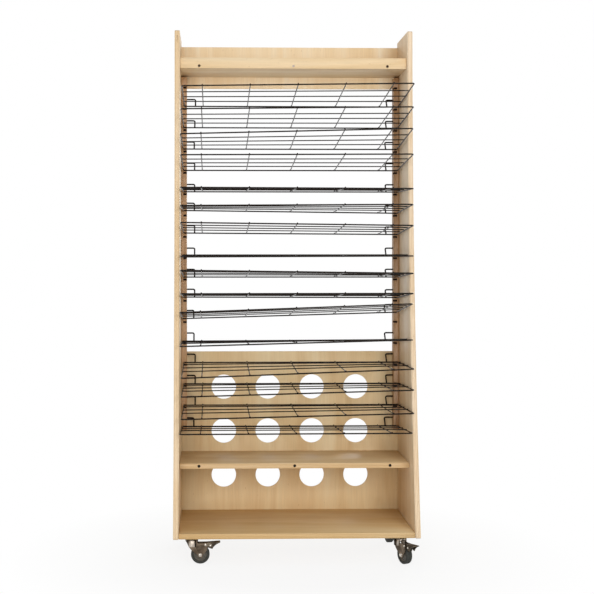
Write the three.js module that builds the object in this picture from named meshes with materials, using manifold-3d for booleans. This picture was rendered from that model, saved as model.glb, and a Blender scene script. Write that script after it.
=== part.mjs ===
// A tall mobile drying rack for paintings: plywood sides on swivel casters, with hinged wire shelves.
// Millimetres, +Z up, front towards -Y, +X to the viewer's right.
import * as THREE from 'three';
import { mergeVertices } from 'three/addons/utils/BufferGeometryUtils.js';
import Module from 'manifold-3d';

const wasm = await Module();
wasm.setup();

// Frame
const overallHeight = 1829;
const innerWidth = 797;
const panelThickness = 18;
const sideDepthTop = 238;
const sideDepthBottom = 408;
const sideCornerRadius = 7;
const fitGap = 0.3;

// Back boards, let into rebates in the sides
const backThickness = 9;
const rebateDepth = 9;
const backPanelHeight = 600;
const holeDiameter = 90;
const holePitch = 162;
const lowestHoleHeight = 146;
const holeRim = 40;

// Fixed shelves
const middleShelfRise = 216;
const middleShelfDepth = 270;
const bottomShelfSetback = 10;
const edgeHoleDiameter = 7;
const edgeHoleDepth = 10;

// Tray on top
const trayDrop = 130;
const trayDepth = 208;
const trayLipHeight = 38;
const backRailDrop = 19;
const backRailHeight = 153;
const screwSpacing = 331;
const screwDiameter = 4;
const screwLength = 40;
const screwHeadDiameter = 8;
const screwHeadThickness = 1.7;
const screwSink = 2;

// Hanger strips with their drop slots
const stripWidth = 20;
const stripDepth = 42;
const stripTopGap = 6;
const stripTail = 43;
const slotWidth = 7;
const slotDepth = 13;
const slotSetback = 22;
const slotDrop = 41;

// Wire shelves
const shelfWidth = 785;
const shelfDepth = 365;
const shelfPitch = 77.7;
const firstPinDrop = 79;
const clearBelowShelves = 100;
const frameWire = 4.8;
const gridWire = 3.8;
const hookWire = 5.5;
const weldDepth = 0.8;
const shelfCornerRadius = 10;
const longWireCount = 3;
const longWireSpacing = 84;
const backBay = 72;
const crossWireCount = 5;
const crossWireSpacing = 160.8;
const crossWireRise = 0.8;
const hookHeight = 28;
const hookInset = 28.5;
const pinReach = 9.5;

// How each wire shelf lies when it hangs at rest, from the top down: how many degrees its front tips up at
// the left and at the right, how far it has slid to the right as a share of the pins' end play, and how far
// up their slots its left and right pins are caught, as a share of the slot's drop
const shelfRest = [
  { left: 3.7, right: 5.4, slide: 0.9, caughtLeft: 0, caughtRight: 0 },
  { left: 3.8, right: 5.2, slide: 0.2, caughtLeft: 0, caughtRight: 0 },
  { left: 2.9, right: 6, slide: -0.4, caughtLeft: 0, caughtRight: 0 },
  { left: 4.1, right: 4.7, slide: 0, caughtLeft: 0, caughtRight: 0 },
  { left: -0.8, right: -1.3, slide: 0, caughtLeft: 0, caughtRight: 0 },
  { left: 0.4, right: 2.6, slide: -0.3, caughtLeft: 0.23, caughtRight: 0 },
  { left: 4.4, right: 3.7, slide: 0, caughtLeft: 0.12, caughtRight: 0 },
  { left: -0.7, right: -0.2, slide: 0, caughtLeft: 0, caughtRight: 0 },
  { left: 4.5, right: 2.9, slide: 0, caughtLeft: 0, caughtRight: 0 },
  { left: 3.6, right: 4.1, slide: 0, caughtLeft: 0.12, caughtRight: 0.06 },
  { left: 6.1, right: 7, slide: -0.9, caughtLeft: 0.1, caughtRight: 0.65 },
  { left: 1.1, right: 4.4, slide: -0.7, caughtLeft: 0, caughtRight: 0 },
  { left: -3.4, right: 1.2, slide: 0.5, caughtLeft: 0, caughtRight: 0 },
  { left: -1, right: 2.3, slide: 0.5, caughtLeft: 0, caughtRight: 0 },
  { left: -0.6, right: 2.2, slide: 0.5, caughtLeft: 0, caughtRight: 0 },
  { left: 3.8, right: 4, slide: -0.9, caughtLeft: 0, caughtRight: 0 },
];

// Casters
const wheelDiameter = 63;
const tyreThickness = 9;
const tyreWidth = 21;
const tyreShoulder = 4;
const casterHeadHeight = 27;
const casterTrail = 28;
const casterSideInset = 45;
const casterFrontInset = 53;
const casterBackInset = 46;
const stemDiameter = 10;
const stemLength = 15.5;
const swivelDiameter = 41;
const swivelFlange = 2.5;
const kingPinDiameter = 8;
const rivetHeadDiameter = 14;
const rivetHeadThickness = 2;
const forkMetal = 2.5;
const forkSkirt = 11;
const forkNose = 28;
const noseLead = 10;
const noseBack = 15;
const forkGap = 25;
const forkBoss = 10;
const cheekTopDrop = 20;
const cheekBackDrop = 43;
const cheekBowReach = 10;
const cheekBowDrop = 42;
const axleDiameter = 8;
const axleHeadDiameter = 13;
const axleHeadThickness = 4;
const pedalPinDiameter = 5;
const pedalPinHeadDiameter = 8;
const pedalPinHeadThickness = 1.5;
const pedalPinReach = 17.5;
const pedalPinDrop = 24.6;
const pedalReach = 50;
const pedalMetal = 2.2;
const pedalTopRise = 4.6;
const pedalKneeReach = 10;
const pedalKneeRise = 5.9;
const pedalTipRise = 6.2;
const pedalSweepReach = 30;
const pedalSweepDrop = 0.4;
const pedalFlareReach = 23.5;
const pedalFlareDrop = 15.2;
const pedalNeckReach = 8.2;
const pedalNeckDrop = 10.3;
const pedalClearance = 0.6;
const shoeGap = 2.4;

// How finely round pieces are faceted
const sweepSteps = 10;
const bendSteps = 2;
const cheekSteps = 4;
const treadSteps = 5;
const holeSides = 18;
const boreSides = 12;
const smallBoreSides = 8;
const legSides = 6;
const pinSides = 8;
const stemSides = 14;
const crownSides = 16;
const wheelSides = 18;
const tyreSides = 26;
const boltSides = 10;

// Heights and places that follow from the sizes above
const casterHeight = wheelDiameter + casterHeadHeight;
const innerHalf = innerWidth / 2;
const backFace = -backThickness - fitGap;
const bottomShelfTop = casterHeight + panelThickness;
const middleShelfTop = bottomShelfTop + middleShelfRise;
const trayUnderside = overallHeight - trayDrop;
const trayFront = backFace - trayDepth;
const stripTop = trayUnderside - stripTopGap;
const stripFront = backFace - stripDepth;
const stripInner = innerHalf - fitGap - stripWidth;
const pinHeight = (index) => stripTop - firstPinDrop - index * shelfPitch;
const pinY = stripFront + slotSetback;
const shelfCount = Math.floor((pinHeight(0) - middleShelfTop - clearBelowShelves) / shelfPitch) + 1;
const stripBottom = pinHeight(shelfCount - 1) - stripTail;
const shelfBackY = stripFront - fitGap;
const shelfFrontY = shelfBackY - shelfDepth;
const pinPlay = slotDepth - pinReach;

const plywood = () => new THREE.MeshStandardMaterial({ color: '#cda673', roughness: 0.45, metalness: 0 });
const hardwood = () => new THREE.MeshStandardMaterial({ color: '#c79b66', roughness: 0.5, metalness: 0 });
const blackWire = () => new THREE.MeshStandardMaterial({ color: '#161616', roughness: 0.4, metalness: 0.2 });
const zinc = () => new THREE.MeshStandardMaterial({ color: '#9a938a', roughness: 0.35, metalness: 0.9 });
const darkSteel = () => new THREE.MeshStandardMaterial({ color: '#3c3430', roughness: 0.4, metalness: 0.8 });
const greyPlastic = () => new THREE.MeshStandardMaterial({ color: '#6a655c', roughness: 0.6, metalness: 0 });
const rubber = () => new THREE.MeshStandardMaterial({ color: '#3a3d38', roughness: 0.8, metalness: 0 });

// A closed geometry as a solid for joining and cutting
function solid(geometry) {
  const plain = new THREE.BufferGeometry();
  plain.setAttribute('position', geometry.getAttribute('position').clone());
  if (geometry.index) plain.setIndex(geometry.index.clone());
  const merged = mergeVertices(plain, 1e-4);
  return new wasm.Manifold(new wasm.Mesh({
    numProp: 3,
    vertProperties: new Float32Array(merged.getAttribute('position').array),
    triVerts: new Uint32Array(merged.index.array),
  }));
}

// A solid back as a geometry
function surface(body) {
  const mesh = body.getMesh();
  const geometry = new THREE.BufferGeometry();
  geometry.setAttribute('position', new THREE.BufferAttribute(new Float32Array(mesh.vertProperties), 3));
  geometry.setIndex(new THREE.BufferAttribute(new Uint32Array(mesh.triVerts), 1));
  geometry.computeVertexNormals();
  return geometry;
}

// A box between two corners
function box(low, high) {
  const geometry = new THREE.BoxGeometry(high[0] - low[0], high[1] - low[1], high[2] - low[2]);
  return geometry.translate((low[0] + high[0]) / 2, (low[1] + high[1]) / 2, (low[2] + high[2]) / 2);
}

// A round bar between two points
function bar(from, to, diameter, sides) {
  const start = new THREE.Vector3(...from);
  const end = new THREE.Vector3(...to);
  const along = end.clone().sub(start);
  const geometry = new THREE.CylinderGeometry(diameter / 2, diameter / 2, along.length(), sides);
  const turn = new THREE.Quaternion().setFromUnitVectors(new THREE.Vector3(0, 1, 0), along.normalize());
  geometry.applyQuaternion(turn);
  const middle = start.add(end).multiplyScalar(0.5);
  return geometry.translate(middle.x, middle.y, middle.z);
}

// A Y-Z outline given as a shape of (y, z), run along X from one place to another
function alongX(shape, from, to, curveSegments) {
  const run = { depth: to - from, bevelEnabled: false, curveSegments };
  const geometry = new THREE.ExtrudeGeometry(shape, run);
  geometry.applyMatrix4(new THREE.Matrix4().set(0, 0, 1, from, 1, 0, 0, 0, 0, 1, 0, 0, 0, 0, 0, 1));
  return geometry;
}

// An X-Z outline given as a shape of (x, z), run along Y, centred on the X-Z plane
function acrossY(shape, width, curveSegments) {
  const run = { depth: width, bevelEnabled: false, curveSegments };
  const geometry = new THREE.ExtrudeGeometry(shape, run);
  return geometry.rotateX(Math.PI / 2).translate(0, width / 2, 0);
}

// A closed profile of (radius, height) turned about Z
function turned(profile, sides) {
  const points = profile.map(([radius, height]) => new THREE.Vector2(radius, height));
  return new THREE.LatheGeometry(points, sides).rotateX(Math.PI / 2);
}

function piece(name, geometry, material) {
  const mesh = new THREE.Mesh(geometry, material);
  mesh.name = name;
  return mesh;
}

// Side panel: square back edge, flat top, and a front edge that sweeps forward towards the foot
function sideOutline() {
  const r = sideCornerRadius;
  const top = overallHeight;
  const foot = casterHeight;
  const shape = new THREE.Shape();
  shape.moveTo(-r, foot);
  shape.lineTo(-sideDepthBottom + r, foot);
  shape.quadraticCurveTo(-sideDepthBottom, foot, -sideDepthBottom, foot + r);
  shape.quadraticCurveTo(-sideDepthTop, (top + foot) / 2, -sideDepthTop, top - r);
  shape.quadraticCurveTo(-sideDepthTop, top, -sideDepthTop + r, top);
  shape.lineTo(-r, top);
  shape.quadraticCurveTo(0, top, 0, top - r);
  shape.lineTo(0, foot + r);
  shape.quadraticCurveTo(0, foot, -r, foot);
  return shape;
}

function sidePanel(name, hand) {
  const inner = hand * innerHalf;
  const outer = hand * (innerHalf + panelThickness);
  const rebate = hand * (innerHalf + rebateDepth);
  const low = Math.min(inner, outer);
  const high = Math.max(inner, outer);
  const rebateLow = Math.min(inner - hand, rebate);
  const rebateHigh = Math.max(inner - hand, rebate);
  const railTop = overallHeight - backRailDrop;
  const rebates = [
    [railTop - backRailHeight, railTop],
    [casterHeight, casterHeight + backPanelHeight],
  ];
  let body = solid(alongX(sideOutline(), low, high, sweepSteps));
  for (const [bottom, top] of rebates) {
    const lowest = bottom === casterHeight ? bottom - panelThickness : bottom - fitGap;
    const cut = box([rebateLow, backFace, lowest], [rebateHigh, panelThickness, top + fitGap]);
    body = body.subtract(solid(cut));
  }
  return piece(name, surface(body), plywood());
}

// Back boards reach into the rebates of both sides
function backBoard(bottom, top) {
  const half = innerHalf + rebateDepth - fitGap;
  return box([-half, -backThickness, bottom], [half, 0, top]);
}

function backPanel() {
  let body = solid(backBoard(casterHeight, casterHeight + backPanelHeight));
  const room = backPanelHeight - lowestHoleHeight - holeDiameter / 2 - holeRim;
  const rows = Math.floor(room / holePitch) + 1;
  const columns = Math.floor((innerWidth - holeDiameter - 2 * holeRim) / holePitch) + 1;
  for (let row = 0; row < rows; row += 1) {
    for (let column = 0; column < columns; column += 1) {
      const x = (column - (columns - 1) / 2) * holePitch;
      const z = casterHeight + lowestHoleHeight + row * holePitch;
      const hole = [[x, -2 * backThickness, z], [x, backThickness, z]];
      body = body.subtract(solid(bar(...hole, holeDiameter, holeSides)));
    }
  }
  return piece('back_panel', surface(body), plywood());
}

// Where the three screws, or the three drilled holes below, sit across the front
const screwPlaces = [-screwSpacing, 0, screwSpacing];

// Fixed shelves run from side to side and stop against the back panel
function middleShelf() {
  const half = innerHalf - fitGap;
  const front = backFace - middleShelfDepth;
  let body = solid(box([-half, front, middleShelfTop - panelThickness], [half, backFace, middleShelfTop]));
  const z = middleShelfTop - panelThickness / 2;
  for (const x of screwPlaces) {
    const hole = [[x, front - edgeHoleDepth, z], [x, front + edgeHoleDepth, z]];
    body = body.subtract(solid(bar(...hole, edgeHoleDiameter, boreSides)));
  }
  return piece('middle_shelf', surface(body), plywood());
}

// Each caster's place under the bottom shelf, and the way its wheel trails, in degrees from +X
const casterX = innerHalf - casterSideInset;
const casterFrontY = -sideDepthBottom + casterFrontInset;
const casters = [
  { name: 'front_left', x: -casterX, y: casterFrontY, trail: 0, braked: true },
  { name: 'front_right', x: casterX, y: casterFrontY, trail: -64, braked: true },
  { name: 'rear_left', x: -casterX, y: -casterBackInset, trail: -112, braked: false },
  { name: 'rear_right', x: casterX, y: -casterBackInset, trail: -82, braked: false },
];

function bottomShelf() {
  const half = innerHalf - fitGap;
  const front = -sideDepthBottom + bottomShelfSetback;
  let body = solid(box([-half, front, casterHeight], [half, backFace, bottomShelfTop]));
  for (const { x, y } of casters) {
    const low = [x, y, casterHeight - panelThickness];
    const high = [x, y, bottomShelfTop + panelThickness];
    body = body.subtract(solid(bar(low, high, stemDiameter + 2 * fitGap, boreSides)));
  }
  return piece('bottom_shelf', surface(body), plywood());
}

// Tray: board, front lip screwed to the board's edge, and a rail that closes the back
const screwHeight = trayUnderside + panelThickness / 2;
const lipBack = trayFront + panelThickness;

function trayBoard() {
  const half = innerHalf - fitGap;
  const front = lipBack + fitGap;
  let body = solid(box([-half, front, trayUnderside], [half, backFace, trayUnderside + panelThickness]));
  const end = trayFront + screwSink + screwLength + fitGap;
  for (const x of screwPlaces) {
    const hole = [[x, front - fitGap, screwHeight], [x, end, screwHeight]];
    body = body.subtract(solid(bar(...hole, screwDiameter + 2 * fitGap, smallBoreSides)));
  }
  return piece('tray_board', surface(body), plywood());
}

function trayLip() {
  const half = innerHalf - fitGap;
  let body = solid(box([-half, trayFront, trayUnderside], [half, lipBack, trayUnderside + trayLipHeight]));
  const seat = trayFront + screwSink;
  for (const x of screwPlaces) {
    const shank = [[x, trayFront, screwHeight], [x, lipBack + fitGap, screwHeight]];
    const head = [[x, trayFront - screwSink, screwHeight], [x, seat, screwHeight]];
    body = body.subtract(solid(bar(...shank, screwDiameter + 2 * fitGap, smallBoreSides)));
    body = body.subtract(solid(bar(...head, screwHeadDiameter + 2 * fitGap, boreSides)));
  }
  return piece('tray_lip', surface(body), plywood());
}

function trayScrew(index) {
  const x = screwPlaces[index];
  const seat = trayFront + screwSink - fitGap;
  const tip = trayFront + screwSink + screwLength - fitGap;
  const head = [[x, seat - screwHeadThickness, screwHeight], [x, seat, screwHeight]];
  const shank = [[x, seat - weldDepth, screwHeight], [x, tip, screwHeight]];
  const headBody = solid(bar(...head, screwHeadDiameter, boreSides));
  const shankBody = solid(bar(...shank, screwDiameter, smallBoreSides));
  return piece(`tray_lip_screw_${index + 1}`, surface(headBody.add(shankBody)), darkSteel());
}

function trayBackRail() {
  const top = overallHeight - backRailDrop;
  return piece('tray_back_rail', backBoard(top - backRailHeight, top), plywood());
}

// Drop slot: a notch in from the strip's front, then straight down behind its front edge to the pin's seat
function dropSlot(seatHeight) {
  const half = slotWidth / 2;
  const entry = seatHeight + slotDrop;
  const seat = seatHeight - hookWire / 2 - fitGap;
  const shape = new THREE.Shape();
  shape.moveTo(pinY - half, seat);
  shape.lineTo(pinY + half, seat);
  shape.lineTo(pinY + half, entry + half);
  shape.lineTo(stripFront - slotWidth, entry + half);
  shape.lineTo(stripFront - slotWidth, entry - half);
  shape.lineTo(pinY - half, entry - half);
  return shape;
}

function hangerStrip(name, hand) {
  const wall = hand * (innerHalf - fitGap);
  const inner = hand * stripInner;
  const slotEnd = inner + hand * slotDepth;
  const mouth = inner - hand * slotDepth;
  const low = [Math.min(wall, inner), stripFront, stripBottom];
  const high = [Math.max(wall, inner), backFace, stripTop];
  let body = solid(box(low, high));
  for (let index = 0; index < shelfCount; index += 1) {
    const from = Math.min(mouth, slotEnd);
    const to = Math.max(mouth, slotEnd);
    body = body.subtract(solid(alongX(dropSlot(pinHeight(index)), from, to, 1)));
  }
  return piece(name, surface(body), hardwood());
}

// Wire shelf, flat: a bent frame wire, grid wires welded to it, and a cranked hook with its pin at each end.
// Its frame lies in the plane z = 0.
function shelfFrame() {
  const half = shelfWidth / 2;
  const r = shelfCornerRadius;
  const shape = new THREE.Shape();
  shape.moveTo(-half, shelfBackY);
  shape.lineTo(-half, shelfFrontY + r);
  shape.absarc(-half + r, shelfFrontY + r, r, Math.PI, 1.5 * Math.PI, false);
  shape.lineTo(half - r, shelfFrontY);
  shape.absarc(half - r, shelfFrontY + r, r, 1.5 * Math.PI, 2 * Math.PI, false);
  shape.lineTo(half, shelfBackY);
  const innerSide = half - frameWire;
  const innerFront = shelfFrontY + frameWire;
  const innerRadius = r - frameWire;
  const hole = new THREE.Path();
  hole.moveTo(-innerSide, shelfBackY - frameWire);
  hole.lineTo(-innerSide, innerFront + innerRadius);
  hole.absarc(-half + r, shelfFrontY + r, innerRadius, Math.PI, 1.5 * Math.PI, false);
  hole.lineTo(half - r, innerFront);
  hole.absarc(half - r, shelfFrontY + r, innerRadius, 1.5 * Math.PI, 2 * Math.PI, false);
  hole.lineTo(innerSide, shelfBackY - frameWire);
  shape.holes.push(hole);
  const run = { depth: frameWire, bevelEnabled: false, curveSegments: bendSteps };
  const geometry = new THREE.ExtrudeGeometry(shape, run);
  return geometry.translate(0, 0, -frameWire / 2);
}

function flatShelf() {
  const frameCentreBack = shelfBackY - frameWire / 2;
  const frameCentreFront = shelfFrontY + frameWire / 2;
  const side = shelfWidth / 2 - frameWire / 2;
  const crossLow = crossWireRise - gridWire / 2;
  const crossTop = crossLow + gridWire;
  const longLow = crossTop - weldDepth;
  let body = solid(shelfFrame());
  for (let index = 0; index < longWireCount; index += 1) {
    const y = frameCentreBack - backBay - index * longWireSpacing;
    const low = [-side, y - gridWire / 2, longLow];
    const high = [side, y + gridWire / 2, longLow + gridWire];
    body = body.add(solid(box(low, high)));
  }
  for (let index = 0; index < crossWireCount; index += 1) {
    const x = (index - (crossWireCount - 1) / 2) * crossWireSpacing;
    const low = [x - gridWire / 2, frameCentreFront, crossLow];
    const high = [x + gridWire / 2, frameCentreBack, crossTop];
    body = body.add(solid(box(low, high)));
  }
  for (const hand of [-1, 1]) {
    const x = hand * (stripInner - hookInset);
    const end = hand * (stripInner + pinReach);
    const leg = bar([x, frameCentreBack, 0], [x, pinY, hookHeight], hookWire, legSides);
    const start = x - hand * hookWire / 2;
    const pin = bar([start, pinY, hookHeight], [end, pinY, hookHeight], hookWire, pinSides);
    body = body.add(solid(leg)).add(solid(pin));
  }
  return surface(body);
}

// Each hanging shelf is the flat one, sprung a little by use: its front raised by a different amount at each
// end, the back wire and the pins staying straight in their slots
const flatShelfGeometry = flatShelf();

function wireShelf(index) {
  const rest = shelfRest[index % shelfRest.length];
  const geometry = flatShelfGeometry.clone();
  const position = geometry.getAttribute('position');
  const height = pinHeight(index) - hookHeight;
  const raisedLeft = shelfDepth * Math.tan(THREE.MathUtils.degToRad(rest.left));
  const raisedRight = shelfDepth * Math.tan(THREE.MathUtils.degToRad(rest.right));
  for (let i = 0; i < position.count; i += 1) {
    const across = position.getX(i) / shelfWidth + 0.5;
    const forward = THREE.MathUtils.clamp((shelfBackY - position.getY(i)) / shelfDepth, 0, 1);
    const raised = THREE.MathUtils.lerp(raisedLeft, raisedRight, across) * forward;
    const caught = THREE.MathUtils.lerp(rest.caughtLeft, rest.caughtRight, across) * slotDrop;
    position.setX(i, position.getX(i) + rest.slide * pinPlay);
    position.setZ(i, position.getZ(i) + height + raised + caught);
  }
  geometry.computeVertexNormals();
  const number = String(index + 1).padStart(2, '0');
  return piece(`wire_shelf_${number}`, geometry, blackWire());
}

// Caster pieces stand in their own group: origin on the swivel axis at the shelf's underside, trail along +X
const axleDrop = casterHeight - wheelDiameter / 2;
const flangeLow = -fitGap - swivelFlange;
const crownTop = flangeLow - fitGap;
const crownLow = crownTop - forkMetal;
const rivetTop = crownLow - fitGap;
const forkOuter = forkGap / 2 + forkMetal;

// Threaded stem, swivel flange and riveted king pin in one turned piece
function casterStem(name) {
  const profile = [
    [0, rivetTop - rivetHeadThickness],
    [rivetHeadDiameter / 2, rivetTop - rivetHeadThickness],
    [rivetHeadDiameter / 2, rivetTop],
    [kingPinDiameter / 2, rivetTop],
    [kingPinDiameter / 2, flangeLow],
    [swivelDiameter / 2, flangeLow],
    [swivelDiameter / 2, -fitGap],
    [stemDiameter / 2, -fitGap],
    [stemDiameter / 2, stemLength],
    [0, stemLength],
  ];
  return piece(`${name}_stem`, turned(profile, stemSides), zinc());
}

// One cheek of the fork, seen from the side: under the crown, back over the wheel, and down to the axle
const pedalPinX = casterTrail + pedalPinReach;

function forkCheek() {
  const inside = swivelDiameter / 2 - forkMetal;
  const back = pedalPinX + forkBoss / 2;
  const boss = casterTrail - forkBoss;
  const shape = new THREE.Shape();
  shape.moveTo(-inside, crownLow + weldDepth);
  shape.lineTo(-inside, crownTop - forkSkirt);
  shape.quadraticCurveTo(-cheekBowReach, -cheekBowDrop, boss, -axleDrop);
  shape.absarc(casterTrail, -axleDrop, forkBoss, Math.PI, 2 * Math.PI, false);
  shape.lineTo(back, -cheekBackDrop);
  shape.lineTo(back, -cheekTopDrop);
  shape.lineTo(inside, -cheekTopDrop);
  shape.lineTo(inside, crownLow + weldDepth);
  return shape;
}

// The crown's skirt runs deep along both sides of the nose. It is cut short ahead, along the cheeks' slope, and
// behind, where the tyre turns.
function forkCrown() {
  const radius = swivelDiameter / 2;
  const inside = radius - forkMetal;
  const bore = kingPinDiameter / 2 + fitGap;
  const skirtLow = crownTop - forkSkirt;
  const noseLow = crownTop - forkNose;
  const below = noseLow - forkMetal;
  const bell = turned([
    [bore, crownLow],
    [inside, crownLow],
    [inside, noseLow],
    [radius, noseLow],
    [radius, crownTop],
    [bore, crownTop],
    [bore, crownLow],
  ], crownSides);
  const ahead = new THREE.Shape();
  ahead.moveTo(-swivelDiameter, skirtLow);
  ahead.lineTo(-inside, skirtLow);
  ahead.lineTo(-noseLead, noseLow);
  ahead.lineTo(-noseLead, below);
  ahead.lineTo(-swivelDiameter, below);
  const behind = box([noseBack, -swivelDiameter, below], [swivelDiameter, swivelDiameter, skirtLow]);
  return solid(bell).subtract(solid(acrossY(ahead, 2 * swivelDiameter, 1))).subtract(solid(behind));
}

function casterFork(name, braked) {
  let body = forkCrown();
  for (const hand of [-1, 1]) {
    const cheek = acrossY(forkCheek(), forkMetal, cheekSteps);
    cheek.translate(0, hand * (forkGap + forkMetal) / 2, 0);
    body = body.add(solid(cheek));
  }
  const axle = [[casterTrail, -2 * forkOuter, -axleDrop], [casterTrail, 2 * forkOuter, -axleDrop]];
  body = body.subtract(solid(bar(...axle, axleDiameter + 2 * fitGap, boltSides)));
  if (braked) {
    const pin = [[pedalPinX, -2 * forkOuter, -pedalPinDrop], [pedalPinX, 2 * forkOuter, -pedalPinDrop]];
    body = body.subtract(solid(bar(...pin, pedalPinDiameter + 2 * fitGap, smallBoreSides)));
  }
  return piece(`${name}_fork`, surface(body), zinc());
}

// A pin across the fork with a head outside each cheek
function crossPin(name, x, z, diameter, headDiameter, headThickness, sides, material) {
  const seat = forkOuter + fitGap;
  const profile = [
    [0, -seat - headThickness],
    [headDiameter / 2, -seat - headThickness],
    [headDiameter / 2, -seat],
    [diameter / 2, -seat],
    [diameter / 2, seat],
    [headDiameter / 2, seat],
    [headDiameter / 2, seat + headThickness],
    [0, seat + headThickness],
  ];
  const geometry = turned(profile, sides).rotateX(Math.PI / 2).translate(x, 0, z);
  return piece(name, geometry, material);
}

function casterWheel(name) {
  const bore = axleDiameter / 2 + fitGap;
  const rim = wheelDiameter / 2 - tyreThickness - fitGap;
  const hubHalf = forkGap / 2 - fitGap;
  const webHalf = tyreWidth / 2 - tyreShoulder;
  const hub = axleDiameter / 2 + tyreShoulder;
  const profile = [
    [bore, -hubHalf],
    [hub, -hubHalf],
    [hub, -webHalf],
    [rim, -webHalf],
    [rim, webHalf],
    [hub, webHalf],
    [hub, hubHalf],
    [bore, hubHalf],
    [bore, -hubHalf],
  ];
  const geometry = turned(profile, wheelSides).rotateX(Math.PI / 2).translate(casterTrail, 0, -axleDrop);
  return piece(`${name}_wheel`, geometry, greyPlastic());
}

function casterTyre(name) {
  const inside = wheelDiameter / 2 - tyreThickness;
  const outside = wheelDiameter / 2;
  const half = tyreWidth / 2;
  const profile = [
    [inside, -half],
    [outside - tyreShoulder, -half],
    [outside, -half + tyreShoulder],
    [outside, half - tyreShoulder],
    [outside - tyreShoulder, half],
    [inside, half],
    [inside, -half],
  ];
  const geometry = turned(profile, tyreSides).rotateX(Math.PI / 2).translate(casterTrail, 0, -axleDrop);
  return piece(`${name}_tyre`, geometry, rubber());
}

// Brake pedal between the cheeks: a shoe that follows the tyre under the pin and a flared tread behind it
function brakePedal(name) {
  const tip = pedalPinX + pedalReach;
  const front = pedalPinX - forkBoss / 2;
  const back = pedalPinX + forkBoss / 2;
  const pinZ = -pedalPinDrop;
  const shoeRadius = wheelDiameter / 2 + shoeGap;
  const shoeStart = Math.acos((front - casterTrail) / shoeRadius);
  const shoeEnd = Math.acos((back - casterTrail) / shoeRadius);
  const sweep = [pedalPinX + pedalSweepReach, pinZ - pedalSweepDrop];
  const shape = new THREE.Shape();
  shape.moveTo(front, pinZ + pedalTopRise);
  shape.absarc(casterTrail, -axleDrop, shoeRadius, shoeStart, shoeEnd, true);
  shape.lineTo(pedalPinX + pedalNeckReach, pinZ - pedalNeckDrop);
  shape.lineTo(pedalPinX + pedalFlareReach, pinZ - pedalFlareDrop);
  shape.quadraticCurveTo(...sweep, tip, pinZ + pedalTipRise);
  shape.lineTo(tip, pinZ + pedalTipRise + pedalMetal);
  shape.lineTo(pedalPinX + pedalKneeReach, pinZ + pedalKneeRise);
  let body = solid(acrossY(shape, forkGap - 2 * pedalClearance, treadSteps));
  const pin = [[pedalPinX, -forkGap, -pedalPinDrop], [pedalPinX, forkGap, -pedalPinDrop]];
  body = body.subtract(solid(bar(...pin, pedalPinDiameter + 2 * fitGap, smallBoreSides)));
  return piece(`${name}_brake_pedal`, surface(body), darkSteel());
}

function caster({ name, x, y, trail, braked }) {
  const group = new THREE.Group();
  const axleHead = [axleDiameter, axleHeadDiameter, axleHeadThickness];
  const pinHead = [pedalPinDiameter, pedalPinHeadDiameter, pedalPinHeadThickness];
  group.add(casterStem(name));
  group.add(casterFork(name, braked));
  group.add(casterWheel(name));
  group.add(casterTyre(name));
  group.add(crossPin(`${name}_axle_bolt`, casterTrail, -axleDrop, ...axleHead, boltSides, zinc()));
  if (braked) {
    group.add(brakePedal(name));
    group.add(crossPin(`${name}_pedal_pin`, pedalPinX, -pedalPinDrop, ...pinHead, smallBoreSides, zinc()));
  }
  group.position.set(x, y, casterHeight);
  group.rotation.z = THREE.MathUtils.degToRad(trail);
  return group;
}

// The whole rack, moved so that its origin is at the middle of its footprint, on the floor
const rack = new THREE.Group();
rack.add(sidePanel('side_panel_left', -1), sidePanel('side_panel_right', 1));
rack.add(hangerStrip('hanger_strip_left', -1), hangerStrip('hanger_strip_right', 1));
rack.add(backPanel(), middleShelf(), bottomShelf());
rack.add(trayBoard(), trayLip(), trayBackRail());
screwPlaces.forEach((place, index) => rack.add(trayScrew(index)));
for (let index = 0; index < shelfCount; index += 1) {
  rack.add(wireShelf(index));
}
casters.forEach((place) => rack.add(caster(place)));

const bounds = new THREE.Box3().setFromObject(rack, true);
const middle = bounds.getCenter(new THREE.Vector3());
rack.position.set(-middle.x, -middle.y, -bounds.min.z);

export default rack;
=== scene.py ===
import math

import bmesh
import bpy
from mathutils import Matrix, Vector


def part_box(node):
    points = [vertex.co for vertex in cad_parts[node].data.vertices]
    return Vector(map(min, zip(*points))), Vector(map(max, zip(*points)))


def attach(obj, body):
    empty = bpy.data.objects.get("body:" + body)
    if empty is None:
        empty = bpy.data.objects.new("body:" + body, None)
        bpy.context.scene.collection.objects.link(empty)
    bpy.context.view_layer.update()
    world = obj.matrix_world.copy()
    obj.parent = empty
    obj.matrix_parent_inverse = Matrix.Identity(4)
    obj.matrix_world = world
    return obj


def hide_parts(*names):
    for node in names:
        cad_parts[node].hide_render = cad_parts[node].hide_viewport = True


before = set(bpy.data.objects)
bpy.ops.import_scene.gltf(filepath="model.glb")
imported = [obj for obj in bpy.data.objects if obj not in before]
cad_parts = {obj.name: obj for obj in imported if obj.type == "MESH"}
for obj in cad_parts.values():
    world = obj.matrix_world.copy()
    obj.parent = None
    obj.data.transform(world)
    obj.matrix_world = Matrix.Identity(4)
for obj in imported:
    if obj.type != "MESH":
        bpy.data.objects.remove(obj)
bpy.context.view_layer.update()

# Side panels. Two boards of 18 mm birch plywood stand on edge from the casters to the top, sawn with a
# front edge that sweeps forward to the foot. Their back edges are rebated, and the left one has a gap in
# its core ply. Edges are eased with a router, and the whole frame has two coats of clear satin lacquer.
MM = 0.001
X, Y, Z = range(3)
HANDS = (("left", -1), ("right", 1))
# How far a cutter runs out past the wood that it cuts.
CUT_PAST = 10 * MM
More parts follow.
